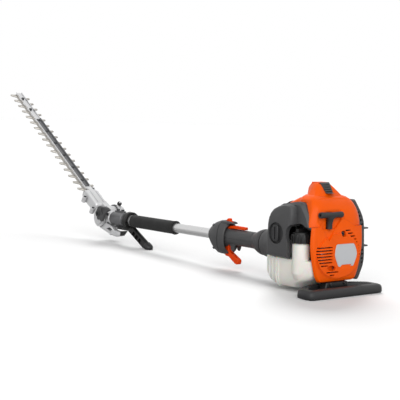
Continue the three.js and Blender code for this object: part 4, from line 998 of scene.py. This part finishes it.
@dataclass
class Assembly:
    """A group of pieces that belong together on the machine."""

    made: list[Piece] = field(default_factory=list, init=False)

    @property
    def title(self) -> str:
        """The assembly's name in the log."""
        return type(self).__name__

    def keep(self, piece: Piece, body: str, surface: Surface, *nodes: str) -> None:
        """Dress a piece and note it as made."""
        self.made.append(dress(piece, body, surface, *nodes))

    def carry(self, *nodes: str, edge_mm: float = 0.5, surface: Surface | None = None) -> None:
        """Stand refined copies in for CAD nodes, each with its own finish.

        Args:
            nodes: the CAD nodes.
            edge_mm: the width of the roundings on their edges.
            surface: a finish in place of the record's, if any.
        """
        for node in nodes:
            copy = refined(node, edge_mm)
            self.keep(copy, BODY_OF_NODE[node], surface or finish_of(node), node)

    def fasten(
        self, name: str, body: str, bench: Bench, seat: Point, axis: Point, fastener: Fastener
    ) -> None:
        """Add a screw head on a seat.

        Args:
            name: the piece's name.
            body: the CAD body it moves with.
            bench: the frame of the seat and axis.
            seat: where its head rests.
            axis: the way that its head faces.
            fastener: its kind.
        """
        head = bench.turned_to(seat, axis).piece(name, fastener.form(), sharp=fastener.sharp)
        self.keep(head, body, Surface.BOLT_STEEL)

    def fasten_each(
        self, name: str, node: str, rays: Sequence[tuple[Point, Point]], fastener: Fastener
    ) -> None:
        """Add a screw head on the machine wherever a ray first meets a CAD node.

        Args:
            name: the pieces' name, before their number.
            node: the CAD node that they are screwed into.
            rays: where each ray starts and the way it goes, in the machine's frame.
            fastener: their kind.
        """
        for i, (start, way) in enumerate(rays, 1):
            seat = MACHINE.surface(node, start, way)
            if seat:
                self.fasten(f"{name}_{i}", "machine", MACHINE, *seat, fastener)

    def build(self) -> None:
        """Make the assembly's own pieces."""
        raise NotImplementedError

    def report(self) -> None:
        """Log the pieces that were made."""
        LOG.info("%s: %s", self.title, ", ".join(p.name for p in self.made))


@dataclass
class EngineCovers(Assembly):
    """The orange covers with their seals, the fan housing inside and the bare label plate."""

    screw: Fastener = Fastener(4.4, 3.6, 4.0, washer_radius=6.2)
    screw_seat: Point = (-44.0, -13.0, 40.5)
    rim_inset: float = 2.6
    rim_width: float = 1.3
    insert_end: float = -1.0
    ridge_count: int = 4
    ridge_foot: tuple[float, float] = (-18.0, 124.6)
    ridge_head: tuple[float, float] = (-5.0, 142.4)
    ridge_half: float = 9.5
    ridge_start: float = 0.35
    ridge_section: tuple[tuple[float, float], ...] = (
        (0.0, -1.0), (0.0, 0.2), (0.5, 2.1), (1.6, 2.1), (2.0, 0.2), (2.0, -1.0),
    )
    gasket_width: float = 3.2
    gasket_proud: float = 1.7
    lip_proud: float = 2.2
    gasket_back: float = 0.6
    gasket_step: float = 2.5
    label_depth: float = 0.4
    label_step: float = 1.5
    shield_low: Point = (-41.6, 8.0, -38.0)
    shield_high: Point = (-41.0, 34.0, -19.0)

    def ridges(self) -> Form:
        """Draw the grip ridges across the insert's slope, seen as steps of light.

        Returns:
            The new form.
        """
        (x0, z0), (x1, z1) = self.ridge_foot, self.ridge_head
        way = Vector((x1 - x0, 0, z1 - z0))
        out = Vector((-way.z, 0, way.x)).normalized()
        along = way.normalized()
        forms = []
        for i in range(self.ridge_count):
            foot = Vector((x0, 0, z0)) + way * ((i + self.ridge_start) / self.ridge_count)
            corners = [foot + out * high + along * on for on, high in self.ridge_section]
            forms.append(stacked([
                [c + Vector((0, y, 0)) for c in corners]
                for y in (-self.ridge_half, self.ridge_half)
            ]))
        return merged(*forms)

    def hump(self) -> None:
        """Split the insert: a dark, ridged slope behind and an orange crown in front."""
        slope = trimmed(refined("hump_insert"), MACHINE, (self.insert_end, 0, 0), (1, 0, 0))
        self.keep(slope, "machine", Surface.DARK_SHELL, "hump_insert")
        crown = trimmed(refined("hump_insert"), MACHINE, (self.insert_end, 0, 0), (-1, 0, 0))
        crown.name = "hump_crown"
        self.keep(crown, "machine", Surface.ORANGE_SHELL)
        self.keep(MACHINE.piece("hump_ridges", self.ridges()), "machine", Surface.DARK_SHELL)

    def gaskets(self) -> None:
        """Lay the black seals that show as lines along the covers' front edges."""
        for node, proud in (("starter_cover", self.gasket_proud), ("top_cover", self.lip_proud)):
            front = MACHINE.box_of(node)[1].x
            cut = (front - self.gasket_back, 0, 0)
            loop = evened(section_loops(node, MACHINE, cut, (1, 0, 0))[0], self.gasket_step)
            dark_bead = bead(loop, (1, 0, 0), self.gasket_width, proud)
            self.keep(MACHINE.piece(node + "_seal", dark_bead), "machine", Surface.RUBBER)

    def build(self) -> None:
        """Dress the covers; add their seals, shield and screw, and the label's border."""
        self.carry("starter_cover", "top_cover", edge_mm=0.8)
        self.hump()
        self.gaskets()
        shield = MACHINE.piece("duct_shield", brick(self.shield_low, self.shield_high))
        self.keep(shield, "machine", Surface.ORANGE_SHELL)
        self.carry("fan_housing", edge_mm=0.5)
        self.carry("label_plate", edge_mm=0.25)
        self.fasten("cover_screw", "machine", MACHINE, self.screw_seat, (-1, 0, 0), self.screw)
        low, _ = MACHINE.box_of("label_plate")
        cut = (low.x + self.label_depth, 0, 0)
        outline = section_loops("label_plate", MACHINE, cut, (1, 0, 0))[0]
        path = inset(evened(outline, self.label_step), (1, 0, 0), self.rim_inset)
        rim = raised_line(path, (1, 0, 0), low.x, self.rim_width)
        self.keep(MACHINE.piece("label_rim", rim), "machine", Surface.LABEL_GREY)


@dataclass
class AirFilter(Assembly):
    """The filter cover on the left of the engine, held by one knob."""

    edge_mm: float = 0.9

    def build(self) -> None:
        """Dress the cover and its knob."""
        self.carry("filter_cover", edge_mm=self.edge_mm)
        self.carry("filter_knob", edge_mm=0.5, surface=Surface.CHARCOAL_NYLON)


@dataclass
class FuelSystem(Assembly):
    """The blow-moulded tank with its neck, and the screw cap."""

    seams: tuple[tuple[float, float, float], ...] = (
        (46.0, 1.8, 1.8), (52.0, 3.2, 3.6), (66.0, 1.8, 1.3), (76.0, 1.8, 1.3), (86.0, 1.8, 1.3),
    )
    seam_step: float = 4.0
    rib_count: int = 20
    rib_width: float = 2.6
    rib_proud: float = 0.8
    rib_sunk: float = 1.2
    rib_low: float = 1.2
    rib_high: float = 15.0

    def ribs(self) -> Form:
        """Draw the grip ribs round the skirt of the cap.

        Returns:
            The new form.
        """
        low, high = MACHINE.box_of("fuel_cap")
        centre = (low + high) / 2
        radius = (high.x - low.x) / 2
        foot, crest = radius - self.rib_sunk, radius + self.rib_proud
        shoulder, half = radius + 0.5 * self.rib_proud, self.rib_width / 2
        outline = [
            (foot, -half), (shoulder, -half), (crest, -0.4 * half), (crest, 0.4 * half),
            (shoulder, half), (foot, half),
        ]
        middle = Matrix.Translation((centre.x, centre.y, 0))
        return merged(*(
            moved(
                slab(outline, low.z + self.rib_low, low.z + self.rib_high),
                middle @ Matrix.Rotation(math.tau * i / self.rib_count, 4, "Z"),
            )
            for i in range(self.rib_count)
        ))

    def build(self) -> None:
        """Dress the tank and cap; add the moulding lines and the cap's ribs."""
        self.carry("fuel_tank", edge_mm=1.0)
        self.carry("fuel_cap", edge_mm=0.6)
        lines = []
        for x, width, proud in self.seams:
            loop = section_loops("fuel_tank", MACHINE, (x, 0, 0), (1, 0, 0))[0]
            lines.append(bead(evened(loop, self.seam_step), (1, 0, 0), width, proud))
        self.keep(MACHINE.piece("tank_seams", merged(*lines)), "machine", Surface.TANK_PLASTIC)
        ribs = MACHINE.piece("fuel_cap_ribs", self.ribs())
        self.keep(ribs, "fuel_cap", Surface.BLACK_PLASTIC)


@dataclass
class EngineBlock(Assembly):
    """Crankcase, cylinder, intake and the guarded muffler."""

    intake_low: Point = (8.0, 36.0, 22.0)
    intake_high: Point = (60.0, 46.0, 74.0)
    shroud_low: Point = (-36.0, 42.0, 14.0)
    shroud_high: Point = (26.0, 44.0, 84.0)
    bore_radius: float = 11.0
    bore_wall: float = 3.0
    bore_length: float = 10.0
    guard_screw: Fastener = Fastener(4.0, 3.4, 4.0, washer_radius=5.6)
    guard_screw_spots: tuple[tuple[float, float], ...] = ((-8.0, -34.0), (70.0, -34.0))
    cast_from_y: float = -160.0

    def intake(self) -> Form:
        """Draw the carburettor's body, its throat and the shroud that it stands behind.

        Returns:
            The new form.
        """
        low, high = self.intake_low, self.intake_high
        body = brick(low, high)
        rim = self.bore_radius + self.bore_wall
        throat = lathe([
            (0, 0), (rim, 0), (rim, self.bore_length), (self.bore_radius, self.bore_length),
            (self.bore_radius - 2, 2), (0, 2),
        ])
        where = Vector(((low[0] + high[0]) / 2, high[1], (low[2] + high[2]) / 2))
        moved(throat, Matrix.Translation(where) @ Matrix.Rotation(math.radians(-90), 4, "X"))
        return merged(body, throat, brick(self.shroud_low, self.shroud_high))

    def build(self) -> None:
        """Dress the block and add the intake and the guard's screws."""
        self.carry("crankcase", "cylinder", "flywheel", edge_mm=0.4)
        self.carry("drive_shaft", "spark_plug_boot", "muffler", edge_mm=0.4)
        self.carry("muffler_guard", edge_mm=0.7)
        intake = MACHINE.piece("intake", self.intake(), 0.6)
        self.keep(intake, "machine", Surface.BLACK_PLASTIC)
        rays = [((x, self.cast_from_y, z), (0, 1, 0)) for x, z in self.guard_screw_spots]
        self.fasten_each("guard_screw", "muffler_guard", rays, self.guard_screw)


@dataclass
class GroundFoot(Assembly):
    """The bow that the engine rests on, with its bracket."""

    screw: Fastener = Fastener(3.2, 2.0, 3.0)
    screw_spots: tuple[tuple[float, float], ...] = ((-20.0, -62.0), (20.0, -62.0))
    cast_from_x: float = -120.0

    def build(self) -> None:
        """Dress the bow and its bracket, and add the screws on the bracket's rear face."""
        self.carry("foot", edge_mm=5.0, surface=Surface.CHARCOAL_NYLON)
        self.carry("foot_bracket", edge_mm=0.6)
        rays = [((self.cast_from_x, y, z), (1, 0, 0)) for y, z in self.screw_spots]
        self.fasten_each("foot_screw", "foot_bracket", rays, self.screw)


@dataclass
class Starter(Assembly):
    """The pull handle and the rope that it draws out of the cover."""

    def build(self) -> None:
        """Dress the handle and the rope."""
        self.carry("starter_handle", edge_mm=0.8, surface=Surface.CHARCOAL_NYLON)
        self.carry("starter_rope", edge_mm=0.0, surface=Surface.STARTER_CORD)


@dataclass
class ShaftCoupling(Assembly):
    """The clutch housing, the rubber damper and the cone that takes the shaft."""

    screw: Fastener = Fastener(3.6, 3.0, 3.0)
    screw_x: float = 112.0
    screw_turns: tuple[float, ...] = (150.0, 210.0)
    cast_from: float = 90.0

    def build(self) -> None:
        """Dress the coupling and add the clamp screws round its flange."""
        self.carry("clutch_housing", "clutch_cone", edge_mm=0.7)
        self.carry("damper_ring", edge_mm=0.4)
        turns = [math.radians(degrees) for degrees in self.screw_turns]
        outs = [Vector((0, math.cos(turn), math.sin(turn))) for turn in turns]
        rays = [(Vector((self.screw_x, 0, 0)) + out * self.cast_from, -out) for out in outs]
        self.fasten_each("clutch_screw", "clutch_housing", rays, self.screw)


@dataclass
class RearHandle(Assembly):
    """The grip with its controls and the round guard in front of the hand."""

    # painted shade: a nearly flush black strip along the joint of the two guards, for the dark
    # slit between them
    seal_width: float = 2.8
    seal_proud: float = 0.12
    seal_sunk: float = 1.5
    seal_step: float = 2.0
    screw: Fastener = Fastener(3.2, 2.6, 3.0)
    front_spots: tuple[tuple[float, float], ...] = ((-15, 24), (15, 24), (-15, -30), (15, -30))
    cast_from_x: float = 430.0

    def build(self) -> None:
        """Dress the handle; add the case screws and a black strip between its guards that paints
        the shade of the slit there.
        """
        self.carry("grip_upper", "grip_lower", "guard_rear", "guard_front", edge_mm=0.7)
        self.carry("throttle_trigger", "throttle_lock", "stop_switch", edge_mm=0.5)
        rear = MACHINE.box_of("guard_rear")[1].x
        front = MACHINE.box_of("guard_front")[0].x
        loop = section_loops("guard_front", MACHINE, (front + 0.5, 0, 0), (1, 0, 0))[0]
        middle = (rear + front) / 2
        loop = [Vector((middle, p.y, p.z)) for p in evened(loop, self.seal_step)]
        # painted shade: the black strip stands in for the shade in the slit between the guards
        dark_bead = bead(loop, (1, 0, 0), self.seal_width, self.seal_proud, self.seal_sunk)
        self.keep(MACHINE.piece("guard_slit_shade", dark_bead), "machine", Surface.BLACK_PLASTIC)
        rays = [((self.cast_from_x, y, z), (-1, 0, 0)) for y, z in self.front_spots]
        self.fasten_each("guard_front_screw", "guard_front", rays, self.screw)


@dataclass
class Shaft(Assembly):
    """The aluminium tube and the foam sleeve for the front hand."""

    lip_width: float = 3.2
    lip_proud: float = 0.7
    sleeve_end: float = 722.0
    spacer_end: float = 741.5
    spacer_radius: float = 16.4
    spacer_bore: float = 12.2
    sleeve_edge: float = 1.2
    round_steps: int = 64

    def lip(self, x: float, radius: float) -> Form:
        """Draw the rolled edge at one end of the sleeve.

        Args:
            x: its place along the shaft.
            radius: the sleeve's radius.

        Returns:
            The new form.
        """
        half, crest = self.lip_width / 2, radius + self.lip_proud
        form = lathe([
            (radius - 2, -half), (radius, -half), (crest, -0.2 * self.lip_width),
            (crest, 0.2 * self.lip_width), (radius, half), (radius - 2, half),
        ], self.round_steps)
        turn = Matrix.Translation((x, 0, 0)) @ Matrix.Rotation(math.radians(90), 4, "Y")
        return moved(form, turn)

    def build(self) -> None:
        """Dress the tube and its foam sleeve; add the spacer and the sleeve's rolled ends."""
        self.carry("drive_tube", edge_mm=0.3)
        whole = refined("front_grip", self.sleeve_edge)
        sleeve = trimmed(whole, MACHINE, (self.sleeve_end, 0, 0), (1, 0, 0))
        self.keep(sleeve, "machine", Surface.GRIP_FOAM, "front_grip")
        length = self.spacer_end - self.sleeve_end
        spacer = lathe([
            (self.spacer_bore, 0), (self.spacer_radius, 0), (self.spacer_radius, length),
            (self.spacer_bore, length),
        ], self.round_steps)
        lying = MACHINE.turned_to((self.sleeve_end, 0, 0), (1, 0, 0))
        self.keep(lying.piece("grip_spacer", spacer), "machine", Surface.ALUMINIUM_TUBE)
        low, high = MACHINE.box_of("front_grip")
        half = self.lip_width / 2
        lips = merged(self.lip(low.x + half, high.z), self.lip(self.sleeve_end - half, high.z))
        self.keep(MACHINE.piece("grip_lips", lips), "machine", Surface.GRIP_FOAM)


@dataclass
class AdjustingLeg(Assembly):
    """The ring clamped on the shaft with its leg, and the caps of leg and bracket."""

    def build(self) -> None:
        """Dress the ring with its leg, and both caps."""
        self.carry("adjust_handle", edge_mm=0.5)
        self.carry("leg_cap", edge_mm=0.5, surface=Surface.CHARCOAL_NYLON)
        self.carry("bracket_cap", edge_mm=0.5)


@dataclass
class GearHead(Assembly):
    """The clamp collar, the angled gear housing and the index lock on its side."""

    screw: Fastener = Fastener(3.6, 3.2, 4.0)
    side_spots: tuple[tuple[float, float], ...] = ((832.0, 10.0), (832.0, -14.0))
    cast_from_y: float = 80.0

    def build(self) -> None:
        """Dress the head and add the screws on its left side."""
        self.carry("collar", "gear_housing", "lower_bracket", edge_mm=0.6)
        self.carry("collar_screw_1", "collar_screw_2", "lever_screw", edge_mm=0.3)
        self.carry("lock_lever", edge_mm=0.6)
        self.carry("index_plunger", "plunger_knob", "pivot_pin", "index_plate", edge_mm=0.4)
        rays = [((x, self.cast_from_y, z), (0, -1, 0)) for x, z in self.side_spots]
        self.fasten_each("head_screw", "gear_housing", rays, self.screw)


@dataclass
class CutterBar(Assembly):
    """The cutter's gearcase, the guide bar and the two toothed knives."""

    screw: Fastener = Fastener(3.9, 5.2, 3.5)
    low_screw: Fastener = Fastener(3.9, 3.4, 3.5)
    low_from: float = 130.0
    left_screws: tuple[float, ...] = (38.0, 92.0)
    right_screws: tuple[float, ...] = (96.0, 115.0, 137.0)
    screw_v: float = 25.0
    cast_from_z: float = 60.0
    # painted shade: a dark strip along the guide bar's channel, standing in for its shade and dark
    # reflection
    strip_start: float = 138.0
    strip_end: float = 506.0
    strip_section: tuple[tuple[float, float], ...] = (
        (8.0, 7.8), (8.0, 9.5), (-7.4, 9.5), (-7.9, 13.2), (-10.4, 13.2), (-10.5, 7.0),
        (-10.1, 7.0), (-10.1, 7.8),
    )

    def build(self) -> None:
        """Dress the cutter; add the case screws and a dark strip that paints the shade and dark
        reflection in the bar's channel.
        """
        self.carry("cutter_gearcase", "case_cover", edge_mm=0.7)
        self.carry("guide_bar", edge_mm=0.4)
        self.carry("upper_knife", "lower_knife", edge_mm=0.35)
        self.carry(*(n for n in BODY_OF_NODE if n.startswith("bar_bolt")), edge_mm=0.3)
        # painted shade and dark reflection: a dark strip laid in the bar's channel
        strip = beam(self.strip_section, (self.strip_start, 0), (self.strip_end, 0))
        self.keep(CUTTER.piece("bar_channel_shade", strip), "cutter", Surface.DARK_COLLAR)
        spots = [(u, self.screw_v) for u in self.left_screws]
        spots += [(u, -self.screw_v) for u in self.right_screws]
        for i, (u, v) in enumerate(spots, 1):
            seat = CUTTER.surface("cutter_gearcase", (u, v, self.cast_from_z), (0, 0, -1))
            if seat:
                kind = self.low_screw if u > self.low_from else self.screw
                self.fasten(f"case_screw_{i}", "cutter", CUTTER, seat[0], (0, 0, 1), kind)


# ---------------------------------------------------------------- stage


@dataclass(frozen=True)
class Camera:
    """An 85 mm lens that looks along the shaft from behind and to the left of the engine."""

    position: tuple[float, float, float] = (-1.3718, 1.3930, 0.3561)
    forward: tuple[float, float, float] = (0.7950, -0.6000, -0.0880)
    up: tuple[float, float, float] = (0.0905, -0.0255, 0.9953)
    lens_mm: float = 85.0
    sensor_mm: float = 36.0
    far: float = 60.0

    def make(self) -> None:
        """Create the camera and make it the scene's own."""
        data = bpy.data.cameras.new("view")
        data.lens = self.lens_mm
        data.sensor_width = self.sensor_mm
        data.clip_end = self.far
        forward = Vector(self.forward).normalized()
        right = forward.cross(Vector(self.up)).normalized()
        up = right.cross(forward)
        turn = Matrix((right, up, -forward)).transposed().to_4x4()
        camera = placed("view", data)
        camera.matrix_world = Matrix.Translation(Vector(self.position)) @ turn
        bpy.context.scene.camera = camera


@dataclass(frozen=True)
class Lamp:
    """A broad, distant lamp."""

    name: str
    direction: tuple[float, float, float]
    strength: float
    spread: float
    mirrored: bool = True

    def make(self) -> None:
        """Hang the lamp; its width softens its shadows, and metal may mirror it or not."""
        data = bpy.data.lights.new(self.name, "SUN")
        data.energy = self.strength
        data.angle = math.radians(self.spread)
        lamp = placed(self.name, data)
        lamp.visible_glossy = self.mirrored
        lamp.rotation_euler = Vector(self.direction).to_track_quat("-Z", "Y").to_euler()


@dataclass(frozen=True)
class Studio:
    """A pale sweep of floor under broad, soft white lamps.

    Metal mirrors a duller floor and sky than the camera sees, and doesn't mirror the
    overhead lamp, so under other light it looks brighter than it does here.
    """

    floor_size: float = 60.0
    floor_drop: float = 0.0004
    sky_strength: float = 0.28
    sky_reflected: float = 0.82
    paper_seen: str = "F8F8F8"
    paper_bounced: str = "AFAFAF"
    lift: float = 0.03
    lamps: tuple[Lamp, ...] = (
        Lamp("overhead", (-1.0, 0.7, -1.0), 2.5, 30, mirrored=False),
        Lamp("front", (0.795, -0.6, -0.25), 2.9, 90),
    )

    def seen(self, tree: Tree, path: bpy.types.Node) -> Socket:
        """Return 1 for the camera's view, also through a clear thing, but not in mirrors."""
        rays = {0: path.outputs["Is Camera Ray"], 1: path.outputs["Is Transmission Ray"]}
        return add(tree, "Math", rays, operation="MAXIMUM").outputs["Value"]

    def floor(self) -> None:
        """Lay the floor: paler to the camera than to the light that bounces off it."""
        half = self.floor_size / 2
        mesh = bpy.data.meshes.new("floor")
        corners = [(-half, -half, 0), (half, -half, 0), (half, half, 0), (-half, half, 0)]
        mesh.from_pydata(corners, [], [(0, 1, 2, 3)])
        plane = placed("floor", mesh)
        plane.location.z = -self.floor_drop
        made = bpy.data.materials.new("seamless_paper")
        tree = emptied(made)
        glow = add(tree, "Emission", {"Color": (1, 1, 1, 1), "Strength": self.lift})
        paper = add(tree, "BsdfDiffuse", {"Color": linear(self.paper_seen)})
        bounced = add(tree, "BsdfDiffuse", {"Color": linear(self.paper_bounced)})
        lifted = add(tree, "AddShader", {0: paper.outputs["BSDF"], 1: glow.outputs["Emission"]})
        both = add(tree, "MixShader", {
            0: self.seen(tree, add(tree, "LightPath")),
            1: bounced.outputs["BSDF"],
            2: lifted.outputs["Shader"],
        })
        add(tree, "OutputMaterial", {"Surface": both.outputs["Shader"]})
        mesh.materials.append(made)

    def sky(self) -> None:
        """Surround the scene with even white light, dimmer where a surface mirrors it."""
        world = bpy.data.worlds.new("studio")
        bpy.context.scene.world = world
        tree = emptied(world)
        path = add(tree, "LightPath")
        plain = add(tree, "MapRange", {
            "Value": path.outputs["Is Glossy Ray"],
            "To Min": self.sky_strength,
            "To Max": self.sky_reflected,
        })
        strength = add(tree, "MapRange", {
            "Value": self.seen(tree, path), "To Min": plain.outputs["Result"], "To Max": 1.0,
        })
        light = {"Color": (1, 1, 1, 1), "Strength": strength.outputs["Result"]}
        sky = add(tree, "Background", light)
        add(tree, "OutputWorld", {"Surface": sky.outputs["Background"]})

    def make(self) -> None:
        """Build the floor, the sky and the lamps."""
        self.floor()
        self.sky()
        for lamp in self.lamps:
            lamp.make()
        bpy.context.scene.view_settings.view_transform = "Standard"


def main() -> None:
    """Dress the whole trimmer, assembly by assembly, and log each piece."""
    logging.basicConfig(level=logging.INFO, format="%(message)s")
    Studio().make()
    Camera().make()
    groups: tuple[Assembly, ...] = (
        EngineCovers(), AirFilter(), FuelSystem(), EngineBlock(), GroundFoot(), Starter(),
        ShaftCoupling(), RearHandle(), Shaft(), AdjustingLeg(), GearHead(), CutterBar(),
    )
    for group in groups:
        group.build()
        group.report()
    bpy.context.view_layer.update()


if __name__ == "__main__":
    main()
